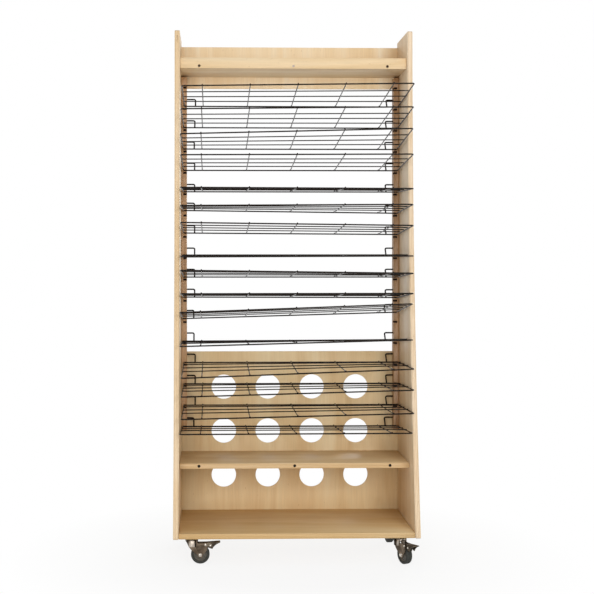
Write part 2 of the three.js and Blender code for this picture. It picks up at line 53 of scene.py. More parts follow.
# The thickness of a sheet of plywood and how many plies are drawn in it.
THICK_SHEET = (18 * MM, 7)
SIDE_LOW, SIDE_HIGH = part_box("side_panel_right")
SIDE_MIDDLE = (SIDE_LOW.x + SIDE_HIGH.x) / 2
SIDE_CORNER = 7 * MM
# The right side's tones are paler than the left's as painted light.
SIDE_TONES = {"left": ("#ddc095", "#e7cda6", "#eed9b9"), "right": ("#e4caa6", "#eed8b8", "#f4e3ca")}
BACK_EDGE = SIDE_HIGH.y
FRONT_TOP = BACK_EDGE - 238 * MM
FRONT_FOOT = BACK_EDGE - 408 * MM
BOARD_EASE = 2.6 * MM
EASE_FROM = math.radians(40)
CREASE = math.radians(42)
REBATE_DEPTH = 9 * MM
REBATE_BACK = 9.3 * MM
FIT_GAP = 0.3 * MM
CORE_GAP = 2 * MM
CORE_GAP_DEPTH = 12 * MM
CORE_GAP_TOP = 18 * MM
CORE_GAP_FOOT = 27 * MM
BROAD_FACE = 0.05


def linear(code):
    """An sRGB hex colour as linear red, green, blue and a full alpha."""
    shares = [int(code[place:place + 2], 16) / 255 for place in (1, 3, 5)]
    bent = [share / 12.92 if share <= 0.04045 else ((share + 0.055) / 1.055) ** 2.4 for share in shares]
    return (*bent, 1.0)


def add(tree, kind, links=(), stops=(), **settings):
    """Adds a node, such as MeshCube, or MULTIPLY for that kind of sum, with its settings and colour stops.
    Its inputs are set or linked by name, or in their order. A node is linked by its first output, text is
    the name of a size of the tree, and a tuple that holds any of these is put together as a vector."""
    if kind.isupper():
        settings["operation"] = kind
        kind = "Math"
    families = ("Shader", "Geometry", "Function", "")
    family = next(start for start in families if hasattr(bpy.types, f"{start}Node{kind}"))
    node = tree.nodes.new(f"{family}Node{kind}")
    for setting, value in settings.items():
        setattr(node, setting, value)
    for index, (place, code) in enumerate(stops):
        ramp = node.color_ramp.elements
        stop = ramp[index] if index < 2 else ramp.new(place)
        stop.position = place
        stop.color = linear(code)
    sources = (bpy.types.Node, bpy.types.NodeSocket, str)
    named = links if isinstance(links, dict) else dict(enumerate(links))
    for label, value in named.items():
        for end in value if isinstance(value, list) else [value]:
            if isinstance(end, tuple) and any(isinstance(part, sources) for part in end):
                end = add(tree, "CombineXYZ", end)
            if isinstance(end, str):
                end = tree.nodes["sizes"].outputs[end]
            if isinstance(end, bpy.types.Node):
                end = end.outputs[0]
            if isinstance(end, bpy.types.NodeSocket):
                tree.links.new(end, node.inputs[label])
            else:
                node.inputs[label].default_value = end
    return node


def bare(name):
    """A new material without a surface yet, and the place on the piece that its patterns follow."""
    material = bpy.data.materials.new(name)
    material.use_nodes = True
    tree = material.node_tree
    tree.nodes.clear()
    return material, tree, add(tree, "TexCoord").outputs["Object"]


def finish(material, links):
    """Ends a material in one principled surface, whose even values are set on its own sockets."""
    surface = add(material.node_tree, "BsdfPrincipled", links)
    add(material.node_tree, "OutputMaterial", {"Surface": surface})
    return material


def birch_plywood(name, tones, grain, stack, middle, sheet, lacquer=0.3):
    """Rotary-cut birch plywood under satin lacquer. The eye sees pale cream veneer with a soft flame along
    the grain, fine fibres and a few brown flecks, and on every edge the plies, each second one browner end
    grain. Each board has its own three tones: the right side and the tray's back rail are paler as painted
    light, the middle and bottom shelves darker and warmer as painted shade, and the rest differ because no
    two sheets age alike. Real plies are 1.4 mm, too thin to show here, so fewer and thicker ones are drawn."""
    material, tree, spot = bare(name)
    noises = []
    for length, width, look in (
            (850 * MM, 95 * MM, {"Detail": 3.0, "Roughness": 0.55, "Distortion": 0.9}),
            (110 * MM, 3.2 * MM, {"Detail": 2.0, "Roughness": 0.6}),
            (16 * MM, 3.5 * MM, {"Detail": 1.0, "Roughness": 0.5})):
        scale = tuple(1 / length if axis == grain else 1 / width for axis in (X, Y, Z))
        drawn_out = add(tree, "Mapping", {"Vector": spot, "Scale": scale})
        noises.append(add(tree, "TexNoise", {"Vector": drawn_out, "Scale": 1.0, **look}))
    flame, fibre, fleck = noises
    veneer = add(tree, "ValToRGB", [flame], ((0.3, tones[0]), (0.72, tones[2]), (0.5, tones[1])))
    fibre_tone = add(tree, "MapRange", [fibre, 0.25, 0.75, 0.94, 1.04])
    fibred = add(tree, "VectorMath", {0: veneer, "Scale": fibre_tone}, operation="SCALE")
    fleck_share = add(tree, "MapRange", [fleck, 0.72, 0.8, 0.0, 0.45])
    flecked = add(tree, "Mix", {0: fleck_share, 6: fibred, 7: linear("#a4774a")}, data_type="RGBA")

    thickness, plies = sheet
    outermost = (plies - 1) / 2
    swing = add(tree, "SeparateXYZ", [spot]).outputs[stack]
    for operation, *other in (
            ("ABSOLUTE",), ("SUBTRACT", middle), ("ABSOLUTE",), ("MULTIPLY", plies / thickness),
            ("MINIMUM", outermost), ("MULTIPLY", math.pi), ("COSINE",)):
        swing = add(tree, operation, [swing, *other])
    face_sign = math.cos(math.pi * outermost)
    end_grain = add(tree, "MapRange", [swing, 0.25 * face_sign, -0.35 * face_sign, 0.0, 0.55])
    layered = add(tree, "Mix", {
        0: end_grain, 6: flecked.outputs[2], 7: linear("#b98f5e")}, data_type="RGBA")
    sheen = add(tree, "MapRange", [fibre, 0.25, 0.75, 0.5, 0.4])
    raised = add(tree, "Bump", {"Height": fibre, "Strength": 0.15, "Distance": 0.3 * MM})
    return finish(material, {
        "Base Color": layered.outputs[2], "Roughness": sheen, "Normal": raised, "IOR": 1.5,
        "Specular IOR Level": lacquer})


def prism(shape, outline, axis, low, high):
    """Adds a closed prism to a mesh in the making: an outline in two axes, run along the third."""
    rings = []
    for level in (low, high):
        spots = [list(pair) for pair in outline]
        for place in spots:
            place.insert(axis, level)
        rings.append([shape.verts.new(place) for place in spots])
    faces = [shape.faces.new(ring) for ring in rings]
    for index in range(len(outline)):
        after = (index + 1) % len(outline)
        faces.append(shape.faces.new((rings[0][index], rings[0][after], rings[1][after], rings[1][index])))
    bmesh.ops.recalc_face_normals(shape, faces=faces)


def rectangle(first_low, second_low, first_high, second_high):
    """A square-cornered outline in two axes."""
    return [(first_low, second_low), (first_high, second_low),
            (first_high, second_high), (first_low, second_high)]


def placed(name, shape):
    """Turns a mesh in the making into an object of the scene."""
    mesh = bpy.data.meshes.new(name)
    shape.to_mesh(mesh)
    shape.free()
    piece = bpy.data.objects.new(name, mesh)
    bpy.context.scene.collection.objects.link(piece)
    return piece


def sawn(name, outline, axis, low, high, place=None):
    """A piece with one outline all along its length, set in its place."""
    shape = bmesh.new()
    prism(shape, outline, axis, low, high)
    if place is not None:
        shape.transform(place)
    return placed(name, shape)


def worked(piece, ease=0.0, cuts=None, joins=()):
    """Joins other pieces to a piece, cuts a cutter's shapes out of it and eases its sharp edges. The mesh
    that comes of this takes the place of the modifiers."""
    spent = [(other, "UNION") for other in joins]
    if cuts is not None:
        spent.append((placed("cutter", cuts), "DIFFERENCE"))
    for other, operation in spent:
        solid = piece.modifiers.new(operation, "BOOLEAN")
        solid.operation = operation
        solid.object = other
    if ease:
        eased = piece.modifiers.new("Eased edges", "BEVEL")
        eased.width = ease
        eased.segments = 3
        eased.limit_method = "ANGLE"
        eased.angle_limit = EASE_FROM
        eased.harden_normals = True
    bpy.context.view_layer.update()
    mesh = bpy.data.meshes.new_from_object(piece.evaluated_get(bpy.context.evaluated_depsgraph_get()))
    piece.modifiers.clear()
    piece.data = mesh
    mesh.polygons.foreach_set("use_smooth", [True] * len(mesh.polygons))
    mesh.set_sharp_from_angle(angle=CREASE)
    for other, operation in spent:
        bpy.data.objects.remove(other)
    return piece


def fitted(piece, material, body, slot, *nodes):
    """Gives a piece its finish, the body that it rides on and the solids that it stands for."""
    if material is not None:
        piece.data.materials.clear()
        piece.data.materials.append(material)
    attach(piece, body)
    if nodes:
        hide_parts(*nodes)
    return piece


def bend(start, pull, end, steps, share=1.0):
    """Points along the first share of the even curve from start to end, drawn towards pull."""
    points = []
    for step in range(steps + 1):
        t = share * step / steps
        weights = ((1 - t) ** 2, 2 * t * (1 - t), t ** 2)
        parts = zip(start, pull, end)
        points.append(tuple(sum(w * place for w, place in zip(weights, places)) for places in parts))
    return points


def side_outline():
    """The side in Y and Z: square back edge, flat top, rounded corners and the swept front."""
    foot, top = SIDE_LOW.z, SIDE_HIGH.z
    low, high = foot + SIDE_CORNER, top - SIDE_CORNER
    outline = []
    for start, pull, end, steps in (
            ((BACK_EDGE - SIDE_CORNER, foot), (BACK_EDGE, foot), (BACK_EDGE, low), 6),
            ((BACK_EDGE, high), (BACK_EDGE, top), (BACK_EDGE - SIDE_CORNER, top), 6),
            ((FRONT_TOP + SIDE_CORNER, top), (FRONT_TOP, top), (FRONT_TOP, high), 6),
            ((FRONT_TOP, high), (FRONT_TOP, (foot + top) / 2), (FRONT_FOOT, low), 40),
            ((FRONT_FOOT, low), (FRONT_FOOT, foot), (FRONT_FOOT + SIDE_CORNER, foot), 6)):
        outline += [spot for spot in bend(start, pull, end, steps) if spot not in outline]
    return outline


for side, hand in HANDS:
    low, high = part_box(f"side_panel_{side}")
    wall = hand * SIDE_LOW.x
    reach = sorted((wall - hand * CUT_PAST, wall + hand * REBATE_DEPTH))
    room = rectangle(reach[0], BACK_EDGE - REBATE_BACK, reach[1], BACK_EDGE + CUT_PAST)
    rebates = bmesh.new()
    for node, below in (("tray_back_rail", FIT_GAP), ("back_panel", 3 * CUT_PAST)):
        node_low, node_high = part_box(node)
        prism(rebates, room, Z, node_low.z - below, node_high.z + FIT_GAP)
    panel = worked(sawn(f"side_board_{side}", side_outline(), X, low.x, high.x), BOARD_EASE, rebates)
    if side == "left":
        gap = bmesh.new()
        core = -SIDE_MIDDLE
        half = CORE_GAP / 2
        mouth = rectangle(core - half, FRONT_TOP - CORE_GAP_DEPTH, core + half, FRONT_TOP + CORE_GAP_DEPTH)
        prism(gap, mouth, Z, high.z - CORE_GAP_FOOT, high.z - CORE_GAP_TOP)
        panel = worked(panel, cuts=gap)
        # The cut spoils the normals that the eased edges left on the broad faces, so these are shaded flat.
        panel.data.attributes.remove(panel.data.attributes["custom_normal"])
        for face in panel.data.polygons:
            face.use_smooth = face.area < BROAD_FACE
    side_birch = birch_plywood(f"birch_plywood_{side}", SIDE_TONES[side], Z, X, SIDE_MIDDLE, THICK_SHEET)
    fitted(panel, side_birch, "cabinet", "plywood", f"side_panel_{side}")

# Hanger strips. Two upright beech strips are screwed into the back corners. Each has sixteen drop slots,
# cut with a router: a notch in from the front, then down to the seat that a shelf pin hangs in.
STRIP_LOW, STRIP_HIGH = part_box("hanger_strip_right")
STRIP_EASE = 1.0 * MM
PIN_SETBACK = 22 * MM
SHELF_PITCH = 77.7 * MM
SLOT_WIDTH = 7 * MM
SLOT_DEPTH = 13 * MM
SLOT_DROP = 41 * MM
HOOK_WIRE = 5.5 * MM
PIN_Y = STRIP_LOW.y + PIN_SETBACK
TOP_PIN = STRIP_HIGH.z - 79 * MM
# The left strip is paler as painted light and the right strip darker as painted shade; both are the same
# beech.
LIT_AND_SHADED_BEECH_TONES = {"left": ("#b88d60", "#d3a87b"), "right": ("#9b744d", "#b68e64")}


def rule(name, **sizes):
    """A Geometry Nodes tree with a named input for each of its sizes."""
    tree = bpy.data.node_groups.new(name, "GeometryNodeTree")
    tree.interface.new_socket("Mesh", in_out="OUTPUT", socket_type="NodeSocketGeometry")
    for label, size in sizes.items():
        kind = "NodeSocketInt" if isinstance(size, int) else "NodeSocketFloat"
        socket = tree.interface.new_socket(label, in_out="INPUT", socket_type=kind)
        socket.default_value = size
    add(tree, "GroupInput", name="sizes")
    return tree


def ended(tree, geometry, material):
    """Ends a tree in real geometry with its material."""
    real = add(tree, "RealizeInstances", {"Geometry": geometry})
    add(tree, "GroupOutput", [add(tree, "SetMaterial", {"Geometry": real, "Material": material})])


def grown(name, tree, ease=0.0, **sizes):
    """Makes a plain mesh piece from a tree, with some of its sizes set for this piece."""
    piece = placed(name, bmesh.new())
    modifier = piece.modifiers.new(tree.name, "NODES")
    modifier.node_group = tree
    for item in tree.interface.items_tree:
        if item.in_out == "INPUT" and item.name in sizes:
            modifier[item.identifier] = sizes[item.name]
    worked(piece, ease)
    piece.data.materials.pop(index=0)
    return piece


def lacquered_beech(name, dark, pale):
    """Steamed beech under lacquer: pinker and browner than the birch, straight-grained, with the short dark
    ray flecks that mark beech. Real flecks are about 2 mm long, drawn here as 6 mm so that they show."""
    material, tree, spot = bare(name)
    band_size = (12 * MM, 12 * MM, 400 * MM)
    ray_size = (1.8 * MM, 1.8 * MM, 6 * MM)
    band_spot = add(tree, "Mapping", {"Vector": spot, "Scale": tuple(1 / size for size in band_size)})
    band = add(tree, "TexNoise", {"Vector": band_spot, "Scale": 1.0, "Detail": 3.0})
    heart = add(tree, "ValToRGB", [band], ((0.3, dark), (0.7, pale)))
    ray_spot = add(tree, "Mapping", {"Vector": spot, "Scale": tuple(1 / size for size in ray_size)})
    ray = add(tree, "TexNoise", {"Vector": ray_spot, "Scale": 1.0, "Detail": 0.0})
    ray_share = add(tree, "MapRange", [ray, 0.66, 0.74, 0.0, 0.4])
    rayed = add(tree, "Mix", {0: ray_share, 6: heart, 7: linear("#6f4a30")}, data_type="RGBA")
    sheen = add(tree, "MapRange", [band, 0.0, 1.0, 0.5, 0.4])
    raised = add(tree, "Bump", {"Height": ray, "Strength": 0.1, "Distance": 0.2 * MM})
    return finish(material, {
        "Base Color": rayed.outputs[2], "Roughness": sheen, "Normal": raised, "IOR": 1.5})


def painted_shade_wood(name, dark, pale):
    """Painted shade for the inside of slots, holes and counterbores: a mottled dark brown, so that each
    slot reads as a dark dash and each small hole as a black dot."""
    material, tree, spot = bare(name)
    mottle = add(tree, "TexNoise", {"Vector": spot, "Scale": 1 / (1.5 * MM), "Detail": 2.0})
    tone = add(tree, "Mix", {0: mottle, 6: linear(dark), 7: linear(pale)}, data_type="RGBA")
    dull = add(tree, "MapRange", [mottle, 0.0, 1.0, 0.7, 0.95])
    return finish(material, {"Base Color": tone.outputs[2], "Roughness": dull, "IOR": 1.45})


# Painted shade for the recesses of the strips' slots and the lip's counterbores.
recess_shade_wood = painted_shade_wood("painted_recess_shade", "#1d120b", "#4a2e19")
strips = rule(
    "slotted_strip", Middle=0.0, Inner=0.0, Width=STRIP_HIGH.x - STRIP_LOW.x,
    Depth=STRIP_HIGH.y - STRIP_LOW.y, Height=STRIP_HIGH.z - STRIP_LOW.z, Front=STRIP_LOW.y,
    Foot=STRIP_LOW.z, Slots=16, Pitch=SHELF_PITCH, TopPin=TOP_PIN, Setback=PIN_SETBACK,
    SlotWidth=SLOT_WIDTH, SlotDepth=SLOT_DEPTH, SlotDrop=SLOT_DROP, PinRadius=HOOK_WIRE / 2)
half_depth = add(strips, "MULTIPLY_ADD", ["Depth", 0.5, "Front"])
half_height = add(strips, "MULTIPLY_ADD", ["Height", 0.5, "Foot"])
stock = add(strips, "MeshCube", {"Size": ("Width", "Depth", "Height")})
stood = add(strips, "Transform", {"Geometry": stock, "Translation": ("Middle", half_depth, half_height)})
pin_y = add(strips, "ADD", ["Front", "Setback"])
step_down = add(strips, "MULTIPLY", ["Pitch", -1.0])
row = add(strips, "MeshLine", {
    "Count": "Slots", "Start Location": ("Inner", pin_y, "TopPin"), "Offset": (0, 0, step_down)})
across = add(strips, "MULTIPLY", ["SlotDepth", 2.0])
half_slot = add(strips, "MULTIPLY", ["SlotWidth", 0.5])
drop_top = add(strips, "ADD", ["SlotDrop", half_slot])
drop_length = add(strips, "ADD", [drop_top, "PinRadius"])
drop_room = add(strips, "SUBTRACT", [drop_top, "PinRadius"])
drop_rise = add(strips, "MULTIPLY", [drop_room, 0.5])
notch_back = add(strips, "MULTIPLY_ADD", ["Depth", -0.5, half_slot])
cutters = []
for size, spot in (
        ((across, "SlotWidth", drop_length), (0, 0, drop_rise)),
        ((across, "Depth", "SlotWidth"), (0, notch_back, "SlotDrop"))):
    block = add(strips, "MeshCube", {"Size": size})
    moved = add(strips, "Transform", {"Geometry": block, "Translation": spot})
    cutters.append(add(strips, "InstanceOnPoints", {"Points": row, "Instance": moved}))
slotted = add(
    strips, "MeshBoolean", {"Mesh 1": stood, "Mesh 2": cutters}, operation="DIFFERENCE", solver="EXACT")
ended(strips, slotted, recess_shade_wood)
for side, hand in HANDS:
    middle = hand * (STRIP_LOW.x + STRIP_HIGH.x) / 2
    strip = grown(f"slotted_strip_{side}", strips, STRIP_EASE, Middle=middle, Inner=hand * STRIP_LOW.x)
    strip.data.materials[0] = lacquered_beech(f"lacquered_beech_{side}", *LIT_AND_SHADED_BEECH_TONES[side])
    strip.data.materials.append(recess_shade_wood)
    # Faces deep inside each slot take the painted shade of the recess.
    for face in strip.data.polygons:
        inward = hand * face.center.x - STRIP_LOW.x
        backward = face.center.y - STRIP_LOW.y
        from_end = min(face.center.z - STRIP_LOW.z, STRIP_HIGH.z - face.center.z)
        in_slot = inward < SLOT_DEPTH + STRIP_EASE and backward < PIN_SETBACK + SLOT_WIDTH
        if in_slot and min(inward, backward, from_end) > 1.5 * STRIP_EASE:
            face.material_index = 1
    fitted(strip, None, "cabinet", "hardwood", f"hanger_strip_{side}")

# Fixed shelves. Two 18 mm plywood shelves are glued and screwed between the sides: the bottom one carries
# the caster stems, and the middle one has three holes drilled in its front edge for a stop rail.
SHELF_EASE = 1.6 * MM
EDGE_HOLE = 7 * MM
EDGE_HOLE_DEPTH = 10 * MM
STEM_HOLE = 10.6 * MM
STEM_ROOM = 0.8 * MM
SCREW_SPACING = 331 * MM
SCREW_PLACES = (-SCREW_SPACING, 0, SCREW_SPACING)
# The middle and bottom shelves are darker and warmer than the other boards as painted shade inside the
# cupboard.
SHADED_SHELF_TONES = ("#cca875", "#d7b788", "#e0c59b")
SHADED_BOTTOM_TONES = ("#d0ad77", "#dbbb89", "#e3c99c")
# Each caster, with the degrees that it is turned about its stem.
CASTERS = {"front_left": 0, "front_right": -64, "rear_left": -112, "rear_right": -82}


def arc(first, second, radius, start, end, steps):
    """Points in two axes round a centre, from one angle to another."""
    turns = [start + (end - start) * step / steps for step in range(steps + 1)]
    return [(first + radius * math.cos(turn), second + radius * math.sin(turn)) for turn in turns]


def circle(first, second, diameter, sides, turn=0):
    """A round or many-sided outline in two axes, turned by some degrees."""
    start = math.radians(turn)
    return arc(first, second, diameter / 2, start, start + 2 * math.pi, sides)[:-1]


def board(name, node, sheet_name, tones, grain, stack, ease, cuts=None, sheet=THICK_SHEET, lacquer=0.3):
    """A square-cut plywood board in the place of its solid, worked, with its edges eased and lacquered."""
    low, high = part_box(node)
    blank = sawn(name, rectangle(low.x, low.y, high.x, high.y), Z, low.z, high.z)
    middle = (low[stack] + high[stack]) / 2
    birch = birch_plywood(f"birch_plywood_{sheet_name}", tones, grain, stack, middle, sheet, lacquer)
    return fitted(worked(blank, ease, cuts), birch, "cabinet", "plywood", node)


low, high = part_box("middle_shelf")
middle = (low.z + high.z) / 2
drilled = bmesh.new()
for place in SCREW_PLACES:
    prism(drilled, circle(place, middle, EDGE_HOLE, 24), Y, low.y - CUT_PAST, low.y + EDGE_HOLE_DEPTH)
shelf = board("middle_board", "middle_shelf", "middle", SHADED_SHELF_TONES, X, Z, SHELF_EASE, drilled)
# The walls of the three edge holes take a near-black painted shade.
shelf.data.materials.append(painted_shade_wood("painted_hole_shade", "#0a0604", "#1c120b"))
for face in shelf.data.polygons:
    across, inward, upward = face.center - Vector((0, low.y, middle))
    from_hole = min(math.hypot(across - place, upward) for place in SCREW_PLACES)
    if from_hole < EDGE_HOLE / 2 + SHELF_EASE and 0.05 * MM < inward < 1.1 * EDGE_HOLE_DEPTH:
        face.material_index = 1

SHELF_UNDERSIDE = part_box("bottom_shelf")[0].z
bored = bmesh.new()
for caster in CASTERS:
    stem_low, stem_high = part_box(f"{caster}_stem")
    stem = (stem_low + stem_high) / 2
    bore = circle(stem.x, stem.y, STEM_HOLE, 24)
    prism(bored, bore, Z, SHELF_UNDERSIDE - CUT_PAST, stem_high.z + STEM_ROOM)
board("bottom_board", "bottom_shelf", "bottom", SHADED_BOTTOM_TONES, X, Z, SHELF_EASE, bored, lacquer=0.1)

# Back panel. A sheet of 9 mm birch plywood closes the lower back, let into the rebates of the sides and
# pinned. Twelve 90 mm holes, cut with a hole saw and eased, let air through to the lowest shelves.
low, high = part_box("back_panel")
THIN_SHEET = (9 * MM, 5)
THIN_EASE = 1.2 * MM
QUARTER = math.radians(90)
BACK_TONES = ("#d9b888", "#e3c89a", "#ebd7af")
back_birch = birch_plywood("birch_plywood_back", BACK_TONES, Z, Y, (low.y + high.y) / 2, THIN_SHEET)
vented = rule(
    "vented_panel", Width=high.x - low.x, Thickness=high.y - low.y, Height=high.z - low.z, Foot=low.z,
    MiddleY=(low.y + high.y) / 2, HoleDiameter=90 * MM, Pitch=162 * MM, LowestRow=146 * MM, Columns=4,
    Rows=3, HoleSides=72)
sheet = add(vented, "MeshCube", {"Size": ("Width", "Thickness", "Height")})
sheet_rise = add(vented, "MULTIPLY_ADD", ["Height", 0.5, "Foot"])
sheet_set = add(vented, "Transform", {"Geometry": sheet, "Translation": (0, "MiddleY", sheet_rise)})
column_gaps = add(vented, "SUBTRACT", ["Columns", 1.0])
row_gaps = add(vented, "SUBTRACT", ["Rows", 1.0])
grid_width = add(vented, "MULTIPLY", [column_gaps, "Pitch"])
grid_height = add(vented, "MULTIPLY", [row_gaps, "Pitch"])
grid = add(vented, "MeshGrid", {
    "Size X": grid_width, "Size Y": grid_height, "Vertices X": "Columns", "Vertices Y": "Rows"})
row_rise = add(vented, "ADD", ["Foot", "LowestRow"])
grid_rise = add(vented, "MULTIPLY_ADD", [grid_height, 0.5, row_rise])
grid_set = add(vented, "Transform", {
    "Geometry": grid, "Translation": (0, "MiddleY", grid_rise), "Rotation": (QUARTER, 0, 0)})
hole_radius = add(vented, "MULTIPLY", ["HoleDiameter", 0.5])
saw_depth = add(vented, "MULTIPLY", ["Thickness", 3.0])
saw = add(vented, "MeshCylinder", {"Vertices": "HoleSides", "Radius": hole_radius, "Depth": saw_depth})
saw_set = add(vented, "Transform", {"Geometry": saw, "Rotation": (QUARTER, 0, 0)})
saws = add(vented, "InstanceOnPoints", {"Points": grid_set, "Instance": saw_set})
holed = add(
    vented, "MeshBoolean", {"Mesh 1": sheet_set, "Mesh 2": saws}, operation="DIFFERENCE", solver="EXACT")
ended(vented, holed, back_birch)
fitted(grown("vented_panel", vented, THIN_EASE), None, "cabinet", "plywood", "back_panel")

# Tray. A plywood board between the sides with a lip screwed to its front edge, and a rail of the thinner
# plywood that closes the back above and below it. The screw heads sit in counterbores.
LIP_EASE = 1.8 * MM
FLOOR_EASE = 0.8 * MM
COUNTERBORE = 8.6 * MM
SCREW_SINK = 2 * MM
SHADED_RIM = 4.8 * MM
LIP_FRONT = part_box("tray_lip")[0].y
LIP_TONES = ("#dabb8b", "#e4c79c", "#ecd5b0")
# The back rail is paler than the other boards as painted light where the tray shades it.
LIT_RAIL_TONES = ("#eed0a2", "#f7deb7", "#fae9cb")
low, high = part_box("tray_board")
SCREW_HEIGHT = (low.z + high.z) / 2
board("tray_floor", "tray_board", "tray", SIDE_TONES["left"], X, Z, FLOOR_EASE)
counterbored = bmesh.new()
for place in SCREW_PLACES:
    sink = circle(place, SCREW_HEIGHT, COUNTERBORE, 32)
    prism(counterbored, sink, Y, LIP_FRONT - CUT_PAST, LIP_FRONT + SCREW_SINK)
lip = board("tray_front", "tray_lip", "lip", LIP_TONES, X, Y, LIP_EASE, counterbored)
# The two outer counterbores and a rim round each take the painted shade; the middle one stays plain.
lip.data.materials.append(recess_shade_wood)
for face in lip.data.polygons:
    from_screw = math.hypot(abs(face.center.x) - SCREW_SPACING, face.center.z - SCREW_HEIGHT)
    if from_screw < SHADED_RIM and face.center.y < LIP_FRONT + SCREW_SINK + 0.1 * MM:
        face.material_index = 1
board("tray_rail", "tray_back_rail", "rail", LIT_RAIL_TONES, Z, Y, THIN_EASE, sheet=THIN_SHEET)

# Lip screws. Three cross-recess wood screws hold the lip. The outer two are drawn near black as painted
# shade, deep in their counterbores, and the middle one is a plain zinc one that shows grey.
SCREW_HEAD = 1.6 * MM


def screw_metal(name, colour, roughness):
    """Plated screw steel in a given tone, a little uneven where the driver has rubbed it; the near-black
    tone of the outer screws is painted shade.
    """
    material, tree, spot = bare(name)
    wear_and_highlight = add(tree, "TexNoise", {"Vector": spot, "Scale": 1 / (2 * MM), "Detail": 2.0})
    share = add(tree, "MapRange", [wear_and_highlight, 0.55, 0.8, 0.0, 0.4])
    tone = add(tree, "Mix", {0: share, 6: linear(colour), 7: linear("#8d8578")}, data_type="RGBA")
    dull = add(tree, "MapRange", [wear_and_highlight, 0.0, 1.0, roughness - 0.1, roughness + 0.15])
    return finish(material, {"Base Color": tone.outputs[2], "Roughness": dull, "Metallic": 0.9})


def screw_tree(name, material):
    """One screw head on each point of a row: a shallow dished disc with a cross recess."""
    tree = rule(
        name, First=0.0, Spacing=SCREW_SPACING, Count=1, Front=LIP_FRONT + 0.2 * MM, Height=SCREW_HEIGHT,
        HeadDiameter=8 * MM, HeadThickness=SCREW_HEAD, Recess=1.0 * MM)
    row = add(tree, "MeshLine", {
        "Count": "Count", "Start Location": ("First", "Front", "Height"), "Offset": ("Spacing", 0, 0)})
    radius = add(tree, "MULTIPLY", ["HeadDiameter", 0.5])
    under = add(tree, "MULTIPLY", [radius, 0.55])
    head = add(tree, "MeshCone", {
        "Vertices": 32, "Radius Top": radius, "Radius Bottom": under, "Depth": "HeadThickness"})
    long_side = add(tree, "MULTIPLY", ["HeadDiameter", 0.6])
    deep = add(tree, "MULTIPLY", ["HeadThickness", 1.2])
    arm = add(tree, "MeshCube", {"Size": (long_side, "Recess", "HeadThickness")})
    first_arm = add(tree, "Transform", {"Geometry": arm, "Translation": (0, 0, deep)})
    second_arm = add(tree, "Transform", {"Geometry": first_arm, "Rotation": (0, 0, QUARTER)})
    crossed = add(tree, "MeshBoolean", {"Mesh 1": head, "Mesh 2": [first_arm, second_arm]},
                  operation="DIFFERENCE", solver="EXACT")
    faced = add(tree, "Transform", {
        "Geometry": crossed, "Rotation": (QUARTER, math.radians(20), 0),
        "Translation": (0, SCREW_HEAD / 2, 0)})
    ended(tree, add(tree, "InstanceOnPoints", {"Points": row, "Instance": faced}), material)
    return tree


# The near-black tone of the two outer screws is painted shade.
shaded_screws = screw_tree("shaded_lip_screw", screw_metal("painted_shade_screw_steel", "#3a2b20", 0.55))
screws = grown("lip_screws_shaded", shaded_screws, First=-SCREW_SPACING, Spacing=2 * SCREW_SPACING, Count=2)
fitted(screws, None, "cabinet", "screw_steel", "tray_lip_screw_1", "tray_lip_screw_3")
grey_screw = screw_tree("grey_lip_screw", screw_metal("zinc_screw_steel", "#9c9186", 0.4))
fitted(grown("lip_screw_grey", grey_screw), None, "cabinet", "screw_steel", "tray_lip_screw_2")

# Wire shelves. Sixteen shelves of welded steel wire hang in the strips: a bent frame wire, thinner grid
# wires welded across it, and a cranked hook at each back corner, all dipped in black enamel. Long use has
# sprung them a little, so each lies at its own slant.
SHELF_DEPTH = 365 * MM
HOOK_RISE = 28 * MM
HOOK_INSET = 28.5 * MM
PIN_REACH = 9.5 * MM
PIN_PLAY = SLOT_DEPTH - PIN_REACH
SHELF_BACK = STRIP_LOW.y - FIT_GAP
# Degrees that the front tips up at the left and at the right, the slide to the right as a share of the
# pins' end play, and how far the left and the right pin are caught up their slots as a share of the drop.
SHELF_REST = [
    (3.7, 5.4, 0.9, 0, 0), (3.8, 5.2, 0.2, 0, 0), (2.9, 6.0, -0.4, 0, 0), (4.1, 4.7, 0, 0, 0),
    (-0.8, -1.3, 0, 0, 0), (0.4, 2.6, -0.3, 0.23, 0), (4.4, 3.7, 0, 0.12, 0), (-0.7, -0.2, 0, 0, 0),
    (4.5, 2.9, 0, 0, 0), (3.6, 4.1, 0, 0.12, 0.06), (6.1, 7.0, -0.9, 0.1, 0.65), (1.1, 4.4, -0.7, 0, 0),
    (-3.4, 1.2, 0.5, 0, 0), (-1.0, 2.3, 0.5, 0, 0), (-0.6, 2.2, 0.5, 0, 0), (3.8, 4.0, -0.9, 0, 0),
]


def clouded(name, stops, cloud, gloss, skin, raised, **even):
    """A coat that drifts in clouds from one tone and gloss to another, with a fine raised skin. Gloss is
    the range of the cloud and the roughness at its ends, skin is the size of a grain on each axis, and
    raised is the grain's detail, strength and height."""
    material, tree, spot = bare(name)
    drift = add(tree, "TexNoise", {"Vector": spot, **cloud})
    tone = add(tree, "ValToRGB", [drift], stops)
    dull = add(tree, "MapRange", [drift, *gloss])
    grain_spot = add(tree, "Mapping", {"Vector": spot, "Scale": tuple(1 / size for size in skin)})
    detail, strength, distance = raised
    grain = add(tree, "TexNoise", {"Vector": grain_spot, "Scale": 1.0, "Detail": detail})
    bump = add(tree, "Bump", {"Height": grain, "Strength": strength, "Distance": distance})
    settings = {label.replace("_", " "): value for label, value in even.items()}
    return finish(material, {"Base Color": tone, "Roughness": dull, "Normal": bump, **settings})


